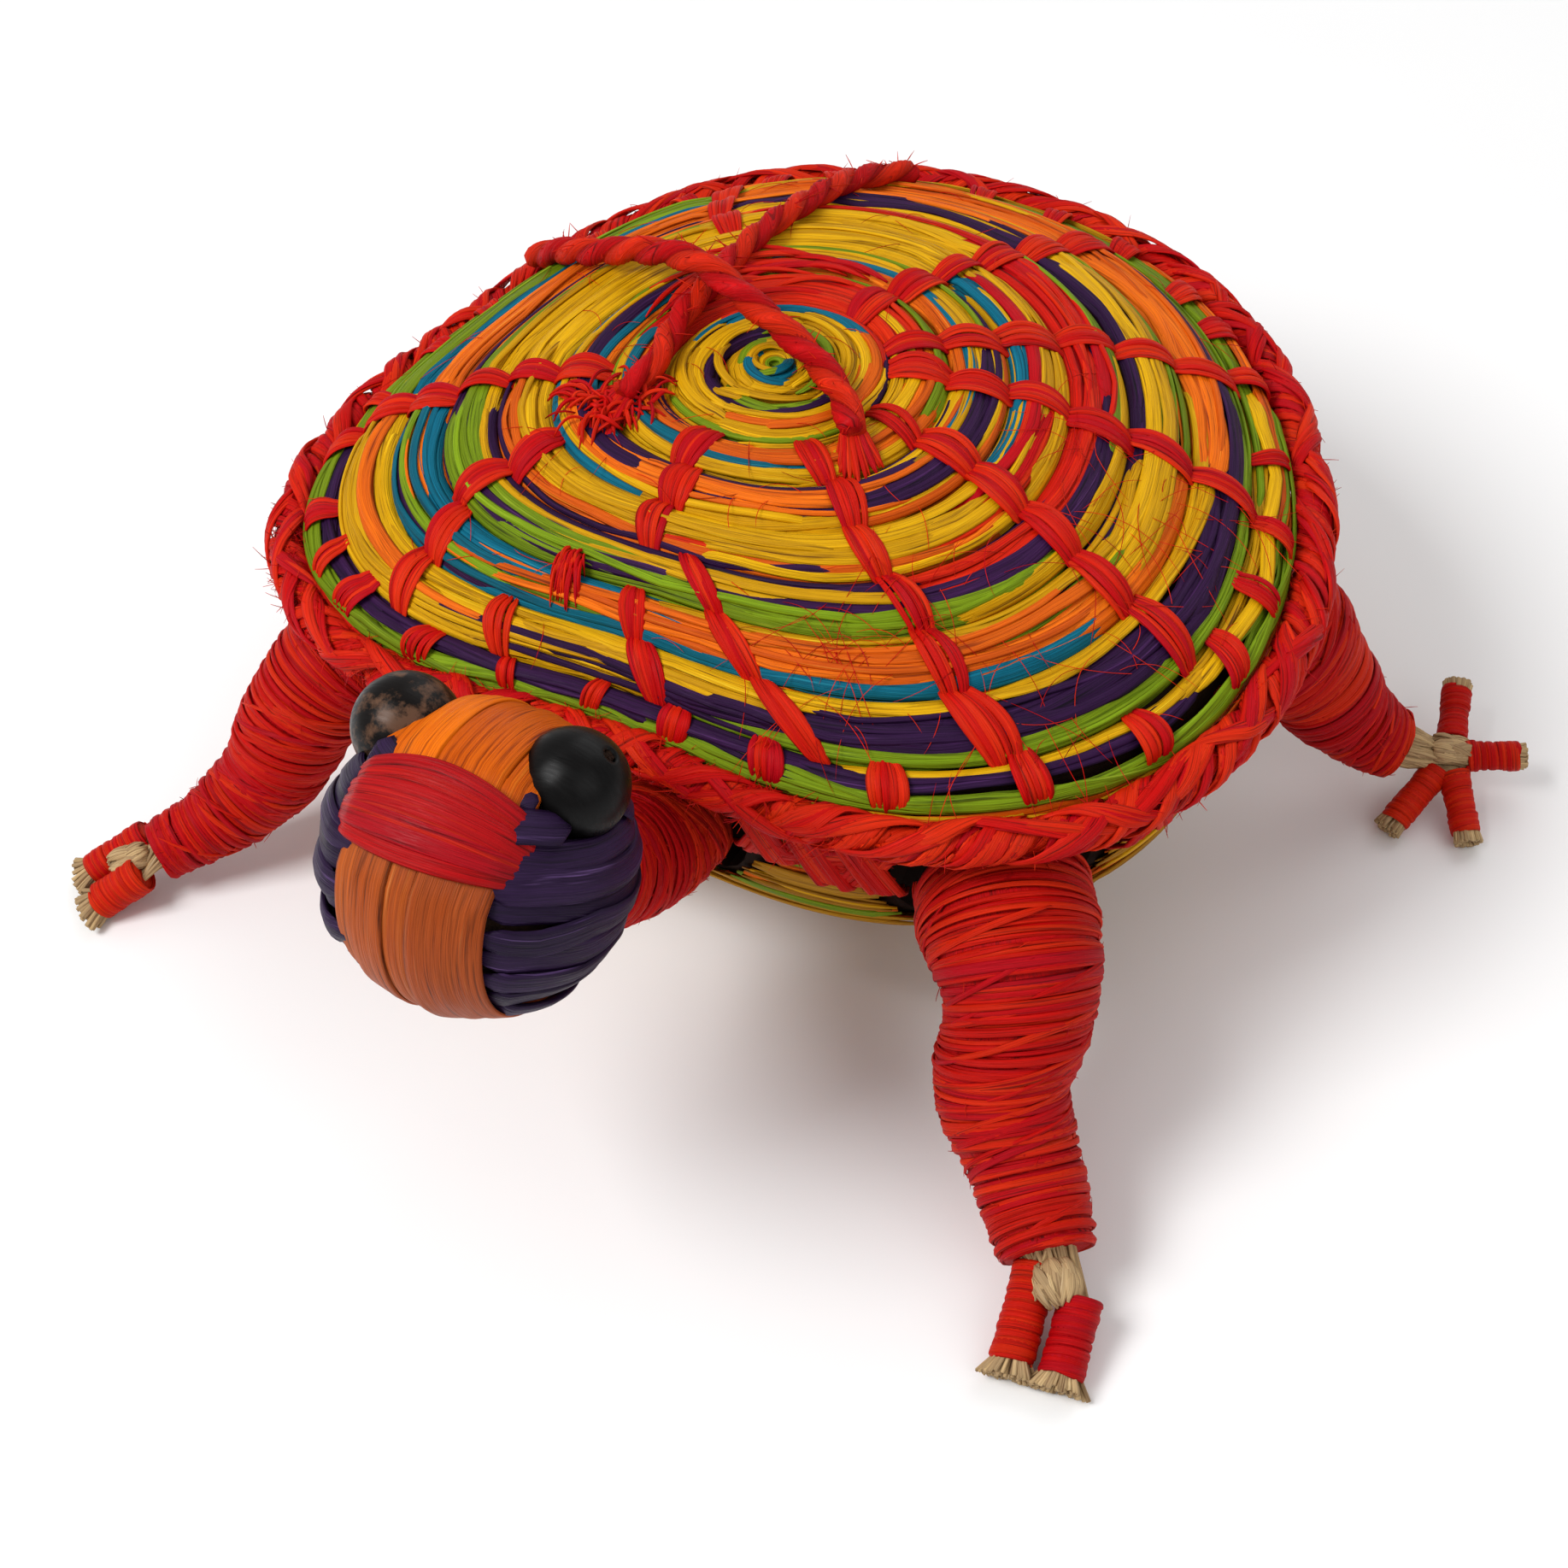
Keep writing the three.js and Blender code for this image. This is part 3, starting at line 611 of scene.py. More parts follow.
def twisted_cord(fibres, path, radius, lay, sides=28):
    """A two-ply twisted cord as one swept skin, with a groove between its plies and ridges of fibre."""
    lengths = np.concatenate([[0], np.cumsum(np.linalg.norm(np.diff(path, axis=0), axis=1))])
    tangent = unit(np.gradient(path, axis=0))
    up = unit(np.array([0.0, 0.0, 1.0]) - tangent * tangent[:, 2:])
    side = np.cross(tangent, up)
    turn = np.arange(sides) / sides * 2 * math.pi
    spin = lengths / lay * 2 * math.pi
    lobes = 0.62 + 0.38 * np.abs(np.cos(turn[None] - spin[:, None])) ** 0.7
    ridges = 1 + 0.045 * np.sin(9 * (turn[None] - spin[:, None]) - 2 * spin[:, None])
    reach = radius * lobes * ridges
    reach[[0, -1]] *= 0.55
    ring = (path[:, None] + side[:, None] * (np.cos(turn) * reach)[..., None]
            + up[:, None] * (np.sin(turn) * reach)[..., None])
    marks = np.empty((len(path), sides, 3))
    marks[..., 0] = lengths[:, None] * 1.3
    marks[..., 1] = (np.cos(turn[None] - spin[:, None]) * radius * 2.2) + lengths[:, None] * 0.25
    marks[..., 2] = 0.5 + 0.3 * np.sign(np.cos(turn[None] - spin[:, None]))
    fibres.add_skin(ring, marks)


def add_top_cords():
    for name, cord in TOP_CORDS.items():
        route = [(x, y, dome_over(x, y) + lift) for x, y, lift in cord["route"]]
        path, length = curve_through(route, step=0.55)
        fibres = Fibres()
        twisted_cord(fibres, path, cord["radius"], lay=cord["radius"] * 7.5)
        piece = fibres.build_red(f"{name}_twist", [name])
        loose = Fibres()
        outs = np.tile((0.0, 0.0, 1.0), (len(path), 1))
        fuzz(loose, path + outs * cord["radius"] * 0.6, outs, 90, (1.5, 4.5), spread=1.1)
        tails(loose, path[-1], path[-1] - path[-8], cord["radius"])
        loose.build_red(f"{name}_loose_fibres")


def tails(fibres, tip, way, radius):
    """The frayed end of a cord, pulled down into the coil."""
    way = unit(way)
    across = unit(np.cross(way, (0, 0, 1)))
    for _ in range(16):
        spread = rng.uniform(-1, 1)
        reach = rng.uniform(4, 9)
        t = np.linspace(0, 1, 8)[:, None]
        path = tip - way * 2 + way * reach * t + across * spread * (radius * 0.6 + 2.2 * t ** 1.5)
        ground = np.array([dome_over(x, y) for x, y in path[:, :2]])
        path[:, 2] = np.maximum(path[:, 2] * (1 - t[:, 0]) + (ground - 0.2) * t[:, 0], ground - 0.6)
        fibres.sweep(path, (0, 0, 1), rng.uniform(0.35, 0.7), 0.25, taper=0.2)


# ---------------------------------------------------------------- carapace

def lathed(name, points, angles=128):
    """A closed [radius, height] outline turned about the coil's centre, as one watertight mesh."""
    points = np.array(points, float)
    turn = np.arange(angles) / angles * 2 * math.pi
    inner = np.where(points[:, 0] < 0.01)[0]
    radius = np.maximum(points[:, 0], 0.4)
    reach = plan_radius(radius[:, None], turn[None])
    height = np.repeat(points[:, 1:], angles, 1)
    grid = np.stack([reach * np.cos(turn), reach * np.sin(turn), height], axis=-1)
    rows = len(points)
    faces = ring_faces(0, rows, angles)
    for row in inner:
        ends = list(range(row * angles, (row + 1) * angles))
        faces.append((ends if row else ends[::-1])[::-1])
    if np.sum(points[:-1, 0] * np.diff(points[:, 1]) - points[:-1, 1] * np.diff(points[:, 0])) > 0:
        faces = [face[::-1] for face in faces]
    marks = np.stack([reach * turn[None], np.repeat(np.arange(rows)[:, None] * 2.0, angles, 1),
                      np.full((rows, angles), 0.4)], axis=-1)
    return new_piece(name, grid.reshape(-1, 3), faces, marks, UNDER)


def dye_at(row, share, angle):
    """The dye of the strand at a place across a row, in the section of the turn that it lies in."""
    degrees = math.degrees(angle)
    centre = min(SECTIONS, key=lambda at: abs((degrees - at + 180) % 360 - 180))
    lanes = SECTIONS[centre].split()[row]
    return lanes[min(int(share * len(lanes)), len(lanes) - 1)]


def stitch_angles(row):
    """Where the sewing lines cross a row of the upper coil."""
    share = (row + 0.5) / COIL_ROWS * COIL_EDGE / PLAN_RADIUS
    lines = [(a, b) for a, b in STITCH_LINES if a[1] - 0.04 < share < b[1] + 0.04]
    return [math.radians(np.interp(share, (a[1], b[1]), (a[0], b[0]))) for a, b in lines]


def next_end(angle, reach, near, far, ends):
    """Where a strand that starts at an angle ends: under a stitch, if one lies in reach."""
    ahead = [angle + (end - angle) % (2 * math.pi) for end in ends]
    ahead = [end for end in ahead if near < end - angle < far]
    return min(ahead, key=lambda end: abs(end - angle - reach)) if ahead else angle + reach


def lay_strands(coil, rows, lanes, choose, passes, spacing=1.5, sewn=None):
    """Lays strands of dyed fibre round the coil, lane by lane, and gathers them by dye."""
    gathered = {}
    for row in range(rows):
        ends_under = sewn(row) if sewn else []
        low, high = coil.bounds[row], coil.bounds[row + 1]
        for lane in range(lanes):
            for half_width, lift, spread in passes:
                angle = rng.uniform(0, 2 * math.pi)
                finish = angle + 2 * math.pi
                while angle < finish:
                    radius = max(float(coil.profile.at((low + high) / 2)[0]), 3.0)
                    tuck = 2.4 / radius
                    reach = rng.uniform(34, 105) / radius
                    stop = next_end(angle, reach, 16 / radius, 125 / radius, ends_under)
                    arc = min(stop - angle + tuck, 2.6)
                    count = max(8, int(arc * radius / spacing))
                    share = (lane + 0.5 + rng.uniform(-spread, spread)) / lanes
                    drift = rng.uniform(-1.4, 1.4) / lanes if rng.uniform() < 0.16 else 0.9 * spread / lanes
                    steps = np.linspace(0, 1, count)
                    turn = angle + arc * steps
                    where = np.clip(share + drift * (steps - 0.5) + 0.07 * smooth_noise(count, 8), 0.07, 0.93)
                    ends = np.clip(np.minimum(steps, 1 - steps) * 9, 0, 1)
                    rise = lift + rng.uniform(-0.25, 0.3) - (1 - ends) * (lift + 0.8)
                    points, faces = coil.place(low + (high - low) * where, turn, rise)
                    dye = choose(row, share, angle + arc / 2)
                    width = half_width * rng.uniform(0.75, 1.25)
                    fibres = gathered.setdefault(dye, [])
                    fibres.append((points, faces, width * (1 + 0.15 * smooth_noise(count, 12))))
                    angle += arc - 2 * tuck if ends_under else arc * 0.88
    return gathered


def add_carapace():
    base = [(0.0, float(dome(0)) - 2.0)]
    for length in np.linspace(3, CARAPACE.total - 4.5, 48):
        radius, height = CARAPACE.at(length)
        run, rise = CARAPACE.slope(length)
        base.append((radius + rise * 2.0, height - run * 2.0))
    base += [(57, 50.5), (50, 57.5), (36, 62.5), (20, 65.2), (0.0, 66.0)]
    keep(lathed("carapace_base", base), "shell", ["carapace_coil"])
    passes = ((1.45, -0.2, 0.1), (1.25, 0.1, 0.25), (1.0, 0.35, 0.35), (0.6, 0.5, 0.5))
    gathered = lay_strands(TOP_COIL, COIL_ROWS + 1, 4, dye_at, passes, sewn=stitch_angles)
    for dye, strands in sorted(gathered.items()):
        fibres = Fibres()
        for points, faces, width in strands:
            fibres.sweep(points, faces, width, 0.3, taper=0.06)
        fibres.build(f"coil_strands_{DYE_NAMES[dye]}", DYES[dye], "shell", "coil_fibre")
    add_spiral_button()


def add_spiral_button():
    """The coil's start: a few strands curled tight on themselves at the top."""
    fibres, green = Fibres(), Fibres()
    for strand in range(7):
        steps = np.linspace(0, 1, 44)
        turn = 0.9 * strand + steps * 2 * math.pi * 1.1
        reach = 1.0 + strand * 0.62 + steps * 0.7
        height = dome(0) + 0.5 - 0.028 * reach ** 2 + 0.15 * (strand % 2)
        path = polar(reach, turn, height)
        target = green if strand in (0, 3) else fibres
        target.sweep(path, (0, 0, 1), 0.55, 0.35, taper=0.05)
    fibres.build("coil_start_yellow", DYES["Y"], "shell", "coil_fibre")
    green.build("coil_start_green", DYES["G"], "shell", "coil_fibre")


def add_stitches():
    """Each sewing line is a chain of short stitches, one over every row that it crosses."""
    edges = [COIL_EDGE / COIL_ROWS * row / PLAN_RADIUS for row in range(COIL_ROWS + 2)]
    for number, ((start_angle, start), (end_angle, end)) in enumerate(STITCH_LINES, 1):
        fibres = Fibres()
        for low, high in zip(edges[:-1], edges[1:]):
            if high - 0.03 < start or low + 0.03 > end:
                continue
            share = np.array([low - 0.022, high + 0.018])
            angles = np.interp(share, (start, end), (start_angle, end_angle))
            sideways = math.degrees(1 / (PLAN_RADIUS * max(high, 0.2)))
            angles += sideways * (rng.uniform(-1.1, 1.1) + rng.uniform(-1.2, 1.2) * np.array([1, -1]))
            stitch_over(fibres, share * PLAN_RADIUS, np.radians(angles), rng.uniform(1.4, 2.2))
        name = f"carapace_stitch_{number:02d}"
        fibres.build_red(f"{name}_fibres", [name])
    edge = Fibres()
    angle = 0.0
    while angle < 2 * math.pi:
        lean = rng.uniform(-0.03, 0.03)
        radii = np.array([rng.uniform(60.5, 62.5), 70.5])
        stitch_over(edge, radii, np.array([angle + lean, angle - lean]), rng.uniform(1.2, 2.0))
        angle += rng.uniform(0.13, 0.26)
    edge.build_red("rim_stitches")


def stitch_over(fibres, radii, angles, half, strands=5):
    """One stitch: a flat tape of strands that comes up out of a groove, over a row, and down again."""
    steps = np.linspace(0, 1, 17)
    arch = np.sin(steps * math.pi)
    bow = rng.uniform(-0.5, 0.5) * arch
    for strand in range(strands):
        offset = (strand / (strands - 1) * 2 - 1) * half * (0.34 + 0.66 * arch ** 0.7) + bow
        offset = offset + rng.uniform(-0.2, 0.2)
        radius = radii[0] + (radii[1] - radii[0]) * steps
        angle = angles[0] + (angles[1] - angles[0]) * steps + offset / np.maximum(radius, 6)
        lengths = np.array([CARAPACE.length_at_radius(value) for value in np.minimum(radius, COIL_EDGE)])
        lengths = lengths + np.maximum(radius - COIL_EDGE, 0)
        lift = -2.0 + 3.0 * arch ** 0.5 + 0.2 * rng.uniform(-1, 1) * arch
        points, faces = TOP_COIL.place(lengths, angle, lift, follow=0.3)
        width = half / strands * rng.uniform(1.5, 2.0) * (0.55 + 0.45 * arch)
        fibres.sweep(points, faces, width, 0.26)


def add_tufts():
    """Ends of red fibre that stand out of the sewing: a wad where the short cord is tied, a cut tuft, a
    curled strand, and the fine hairs that lie over the front rows."""
    tufts = Fibres()
    scatter_hairs(tufts, 90, (-146, -130), (0.26, 0.38), (3, 8), (0.15, 0.4), (0.6, 2.0))
    scatter_hairs(tufts, 34, (-107, -103), (0.61, 0.635), (3, 7), (0.15, 0.35), 1.6, heading=0.4)
    scatter_hairs(tufts, 22, (75, 130), (0.27, 0.38), (12, 24), (0.4, 0.8), 0.9, heading=1.57)
    tufts.build_red("red_tufts")
    for dye, count in (("Y", 9), ("G", 6), ("T", 2)):
        leaves = Fibres()
        for _ in range(count):
            steps = np.linspace(0, 1, 18)
            radius = rng.uniform(2.5, 11)
            arc, drift = min(rng.uniform(9, 20) / radius, 3.6), rng.uniform(-3, 4)
            turn = rng.uniform(0, 6.28) + arc * steps
            reach = radius + drift * steps
            height = dome(0) + 0.3 - 0.012 * reach ** 2 + 1.1 * np.sin(steps * math.pi)
            path = polar(reach, turn, height)
            leaves.sweep(path, (0, 0, 1), rng.uniform(0.45, 0.9), 0.28, taper=0.15)
        leaves.build(f"coil_start_loose_{DYE_NAMES[dye]}", DYES[dye], "shell", "coil_fibre")
    hairs = Fibres()
    scatter_hairs(hairs, 120, (-60, 15), (0.5, 0.96), (5, 20), 0.055, 0.8)
    scatter_hairs(hairs, 90, (-180, 180), (0.15, 0.98), (4, 12), 0.055, 0.8)
    hairs.build_red("red_hairs")


def drawn(value):
    """A value as it is, or one drawn between two ends."""
    return rng.uniform(*value) if isinstance(value, tuple) else value


def scatter_hairs(fibres, count, degrees, shares, length, half, lift, heading=None):
    """Lays loose fibres over a part of the dome, given by its angles and its shares of the plan's radius."""
    for _ in range(count):
        angle = math.radians(rng.uniform(*degrees))
        radius = rng.uniform(*shares) * PLAN_RADIUS
        size, width, height = drawn(length), drawn(half), drawn(lift)
        lay_hair(fibres, angle, radius, size, width, height, heading)


def lay_hair(fibres, angle, radius, length, half, lift, heading=None):
    """One loose fibre lying on the coil, curved at random."""
    bend = rng.uniform(-1.4, 1.4) if heading is None else rng.uniform(0.6, 1.5) * length / radius
    heading = rng.uniform(0, 2 * math.pi) if heading is None else heading + rng.uniform(-0.25, 0.25)
    reach = float(plan_radius(radius, angle))
    place = np.array([reach * math.cos(angle), reach * math.sin(angle)])
    path = []
    for step in np.linspace(0, 1, 12):
        way = angle + heading + bend * step
        place = place + length / 12 * np.array([math.cos(way), math.sin(way)])
        high = lift * math.sin(step * math.pi) + 0.25
        path.append((*place, dome_over(*place) + high))
    path = np.array(path)
    keep_in = np.hypot(path[:, 0], path[:, 1]) < plan_radius(PLAN_RADIUS, np.arctan2(path[:, 1], path[:, 0]))
    for first, last in runs(keep_in, 4):
        section = THREAD if half < 0.1 else FLAT
        fibres.sweep(path[first:last], (0, 0, 1), half, min(half, 0.3), section, taper=0.2)


# ---------------------------------------------------------------- rim

def rim_point(angle, turn, radius):
    """A point on a ring round the rim cord, with the way out from it."""
    reach = plan_radius(RIM_CORD_CENTRE[0], angle)
    out = polar(np.cos(turn), angle, np.sin(turn))
    return polar(reach, angle, RIM_CORD_CENTRE[1]) + out * np.reshape(radius, (-1, 1)), out


def rim_strip(fibres, start, arc, twist, reach, half, phase, step=1.3):
    """A strip wound slantwise round the rim cord over part of the turn."""
    girth = math.hypot(arc * PLAN_RADIUS, arc * twist * reach)
    count = max(8, int(girth / step))
    steps = np.linspace(0, 1, count)
    angle = start + arc * steps
    turn = phase + angle * twist + 0.25 * smooth_noise(count, 16)
    lift = reach + 0.5 * smooth_noise(count, 9)
    points, out = rim_point(angle, turn, lift)
    fibres.sweep(points, out, half * (1 + 0.25 * smooth_noise(count, 14)), 0.34, taper=0.05)


def rim_loop(fibres, start, lean, phase, half):
    """One strand of a broad loop that climbs over the lashing at a slant and dives under it again."""
    steps = np.linspace(0, 1, 18)
    arch = np.sin(steps * math.pi)
    angle = start + (steps - 0.5) * math.radians(lean)
    turn = phase + (1 - steps) * 2.7 - 0.6 + 0.2 * smooth_noise(18, 7)
    points, out = rim_point(angle, turn, RIM_CORD_RADIUS - 0.4 + 1.7 * arch ** 0.5 + rng.uniform(-0.15, 0.2))
    fibres.sweep(points, out, half * (0.5 + 0.5 * arch), 0.3, taper=0.05)


def add_rim():
    cord = Fibres()
    for strand in range(8):
        angle = np.linspace(0, 2 * math.pi, 900, endpoint=False)
        points, out = rim_point(angle, angle * 26 + strand * math.pi / 4, RIM_CORD_RADIUS - 0.75)
        cord.sweep(points, out, 0.95, 0.7, ROUND, closed=True, ribs=0)
    cord.build_red("rim_cord_plies", ["rim_cord"])
    lashing = Fibres()
    for twist, reach, strips in ((38, RIM_CORD_RADIUS + 0.15, 9), (31, RIM_CORD_RADIUS + 0.6, 4)):
        for strip in range(strips):
            angle = rng.uniform(0, 1)
            finish = angle + 2 * math.pi
            while angle < finish:
                arc = rng.uniform(0.25, 0.6)
                phase = strip * 2 * math.pi / strips + rng.uniform(-0.3, 0.3)
                turns, half = twist * rng.uniform(0.97, 1.03), rng.uniform(0.7, 1.15)
                rim_strip(lashing, angle, arc, turns, reach, half, phase)
                angle += arc * 0.9
    for loop in range(RIM_LOOPS):
        start = (loop + rng.uniform(0, 0.8)) / RIM_LOOPS * 2 * math.pi
        phase, lean = rng.uniform(-0.4, 0.9), rng.choice((-1, 1), p=(0.7, 0.3)) * rng.uniform(9, 17)
        for strand in range(4):
            rim_loop(lashing, start + strand * 0.011, lean, phase, rng.uniform(0.55, 0.95))
    lashing.build_red("rim_lashing")
    hair = Fibres()
    angle = np.concatenate([rng.uniform(-math.pi, math.pi, 500), np.radians(rng.uniform(-150, -55, 900))])
    turn = rng.uniform(-0.9, 3.4, len(angle))
    points, outs = rim_point(angle, turn, RIM_CORD_RADIUS + 0.4)
    fuzz(hair, points, outs, 2400, (1.2, 4.2), radius=0.065, spread=1.4)
    hair.build_red("rim_loose_fibres")


# ---------------------------------------------------------------- belly

def swing_lines():
    """The spaces that the legs and the neck swing in: a line and a radius for each."""
    lines = [(np.array(leg["route"][:3], float), max(leg["radii"]) + HIP_CLEARANCE) for leg in LEGS.values()]
    return [*lines, (np.array(NECK_ROUTE[:3], float), NECK_RADIUS + NECK_CLEARANCE)]


def outside_swing(points, extra=0.3):
    clear = np.ones(len(points), bool)
    for line, radius in swing_lines():
        for start, end in zip(line[:-1], line[1:]):
            way = end - start
            share = np.clip((points - start) @ way / (way @ way), 0, 1)
            near = start + share[:, None] * way
            clear &= np.linalg.norm(points - near, axis=1) > radius + extra
    return clear


def runs(clear, shortest=5):
    """Where a strand stays clear, as (first, last) pairs."""
    edges = np.flatnonzero(np.diff(np.concatenate([[0], clear.astype(int), [0]])))
    return [(first, last) for first, last in zip(edges[::2], edges[1::2]) if last - first >= shortest]


def swing_cutter(name, line, radius):
    path, _ = curve_through(line, count=8)
    path = np.vstack([path[:1] - unit(path[1] - path[0]) * radius * 0.9, path])
    widths = radius * np.array([0.45, *[1.0] * (len(path) - 1)])
    fibres = Fibres()
    fibres.sweep(path, (0.2, 0.3, 0.9), widths, widths, circle(24), ribs=0)
    return new_piece(name, np.concatenate(fibres.points), fibres.faces, smooth=False)


def cut_away(piece, cutters):
    """Cuts solids out of a piece, and keeps the result as its mesh."""
    scene = bpy.context.scene.collection
    scene.objects.link(piece)
    for cutter in cutters:
        scene.objects.link(cutter)
        cut = piece.modifiers.new("cut", "BOOLEAN")
        cut.operation, cut.object, cut.solver, cut.use_self = "DIFFERENCE", cutter, "EXACT", True
    evaluated = piece.evaluated_get(bpy.context.evaluated_depsgraph_get())
    mesh = bpy.data.meshes.new_from_object(evaluated)
    piece.modifiers.clear()
    piece.data = mesh
    for cutter in cutters:
        bpy.data.objects.remove(cutter)
    scene.objects.unlink(piece)
    return piece


def belly_dye(row, share, angle):
    """Mostly ochre and yellow rows, with orange and green strands among them."""
    pick = rng.uniform()
    if pick < 0.42:
        return "ochre"
    if pick < 0.7:
        return "Y"
    return "O" if pick < 0.88 else "G"


def add_belly():
    outline = []
    for length in np.linspace(0, BELLY.total, 44):
        radius, height = BELLY.at(length)
        run, rise = BELLY.slope(length)
        outline.append((max(radius - rise * 1.1, 0.0), height + run * 1.1))
    outline[0] = (0.0, BELLY_HEIGHT + 1.1)
    outline += [(59, 47.2), (55, 50.4), (48, 56.3), (35, 61.4), (19, 64.2), (0.0, 65.0)]
    base = lathed("belly_base", outline)
    cutters = [swing_cutter(f"swing_{i}", line, radius) for i, (line, radius) in enumerate(swing_lines())]
    keep(cut_away(base, cutters), "shell", ["belly_coil"])
    passes = ((1.7, -0.1, 0.25), (1.1, 0.15, 0.5), (0.6, 0.35, 0.7))
    gathered = lay_strands(BELLY_COIL, BELLY_ROWS, 3, belly_dye, passes, spacing=1.8)
    for dye, strands in sorted(gathered.items()):
        fibres = Fibres()
        for points, faces, width in strands:
            for first, last in runs(outside_swing(points)):
                fibres.sweep(points[first:last], faces[first:last], width[first:last], 0.3, taper=0.05)
        material = OCHRE if dye == "ochre" else DYES[dye]
        fibres.build(f"belly_strands_{DYE_NAMES.get(dye, dye)}", material, "shell", "belly_fibre")
    for number, angle in enumerate((20, 110, 200, 290), 1):
        fibres = Fibres()
        for low in (20.0, 29.0, 38.0):
            for strand in range(5):
                steps = np.linspace(0, 1, 12)
                arch = np.sin(steps * math.pi)
                turn = math.radians(angle) + (strand - 2) * 0.75 / (low + 4)
                lift = -1.0 + 1.6 * arch ** 0.6
                points, faces = BELLY_COIL.place(low + 8.6 * steps, np.full(12, turn), lift, 0.2)
                fibres.sweep(points, faces, 0.55, 0.28)
        fibres.build_red(f"belly_stitch_{number}_fibres", [f"belly_stitch_{number}"])


def add_side_lacings():
    """Red strands that tie the carapace's edge to the belly's top row, crossing as they go."""
    for name, (start, end) in SIDE_LACINGS.items():
        fibres = Fibres()
        angle = start
        while angle < end:
            for lean in (-1, 1):
                drop = rng.uniform(13, 18)
                for strand in range(6):
                    steps = np.linspace(0, 1, 12)
                    turn = np.radians(angle + lean * 3.4 * (steps - 0.5) * 2 + strand * 0.6 - 1.5)
                    height = 50.0 - (drop + rng.uniform(-0.6, 0.6)) * steps
                    tuck = 3.2 * np.clip((steps - 0.8) / 0.2, 0, 1) ** 1.5
                    radius = 66.7 - 2.3 * steps + 0.7 * np.sin(steps * math.pi) + 0.35 * (lean > 0) - tuck
                    reach = plan_radius(radius + rng.uniform(-0.15, 0.15), turn)
                    points, outs = polar(reach, turn, height), polar(1.0, turn, 0.0)
                    fibres.sweep(points, outs, rng.uniform(0.5, 0.95), 0.28)
            angle += 6.0
        for _ in range(16):
            steps = np.linspace(0, 1, 16)
            first = rng.uniform(start - 2, (start + end) / 2)
            turn = np.radians(first + steps * min(end - first + 2, rng.uniform(9, 22)))
            height = rng.uniform(37, 47) + rng.uniform(-4, 4) * (steps - 0.5) + 0.7 * smooth_noise(16, 4)
            reach = plan_radius(66.3 - 0.05 * (height - 47) ** 2 / 4 + rng.uniform(0, 0.6), turn)
            points, outs = polar(reach, turn, height), polar(1.0, turn, 0.0)
            fibres.sweep(points, outs, rng.uniform(0.35, 0.8), 0.25, taper=0.1)
            fuzz(fibres, points, outs, 12, (1.2, 3.4), radius=0.06, spread=1.3)
        fibres.build_red(f"{name}_fibres", [name])


# ---------------------------------------------------------------- legs

def wrapped_limb(tube, end, name, body, replaces, hair=260, start=1 / 12):
    """A tube of strips wound close over each other, over a plain wound skin, with loose crossing threads."""
    fibres = Fibres()
    skin_under(fibres, tube, start, end)
    here = start
    while here < end - 0.01:
        there = min(here + rng.uniform(0.09, 0.2), end)
        for phase in range(4):
            pitch, half = rng.uniform(1.4, 2.3), rng.uniform(0.32, 0.66)
            wind(fibres, tube, here, min(there + 0.02, end), pitch, half, 0.22,
                 lift=rng.uniform(-0.15, 0.15), phase=rng.uniform(0, 6.28) + phase, rough=0.3)
        here = there
    for number in range(30):
        middle = start + 0.06 + (end - start - 0.12) * rng.uniform() ** (1.8 if number % 2 else 1)
        wind(fibres, tube, max(start, middle - 0.07), min(end, middle + 0.07), rng.uniform(9, 24),
             rng.uniform(0.25, 0.6), 0.2, lift=0.22, phase=rng.uniform(0, 6.28), rough=0.1)
    fibres.build(name, RED_WRAP, body, "red_wrap", replaces)
    share = rng.uniform(start, end, 600)
    points, outs = tube.at(share, rng.uniform(0, 2 * math.pi, 600))
    loose = Fibres()
    fuzz(loose, points, outs, hair, (0.8, 2.6), radius=0.06, spread=1.3)
    loose.build(f"{name}_loose_fibres", RED_WRAP, body, "red_wrap")


def skin_under(fibres, tube, start, end, sides=36):
    """The inner turns, as one closed skin with a ridge for each turn."""
    count = int((end - start) * tube.length / 0.55)
    share = np.linspace(start, end, count)
    ridge = 0.14 * np.sin(np.arange(count) * 0.55 / 1.9 * 2 * math.pi + 0.8 * smooth_noise(count, 12))
    radius = tube.radius(share) - 0.55 + ridge
    centre, normal = tube.read(tube.centre, share), tube.read(tube.normal, share)
    fibres.sweep(centre, normal, radius, radius, circle(sides), ribs=0)


def toe_path(leg, toe, start=0.0, end=1.0, count=8):
    direction, rise, length, offset = toe
    around, up = math.radians(direction), math.radians(rise)
    palm = np.array(leg["route"][-1], float)
    palm = palm + offset * np.array([-math.sin(around), math.cos(around), 0])
    step = np.array([math.cos(around) * math.cos(up), math.sin(around) * math.cos(up), math.sin(up)])
    return palm + step * length * np.linspace(start, end, count)[:, None]


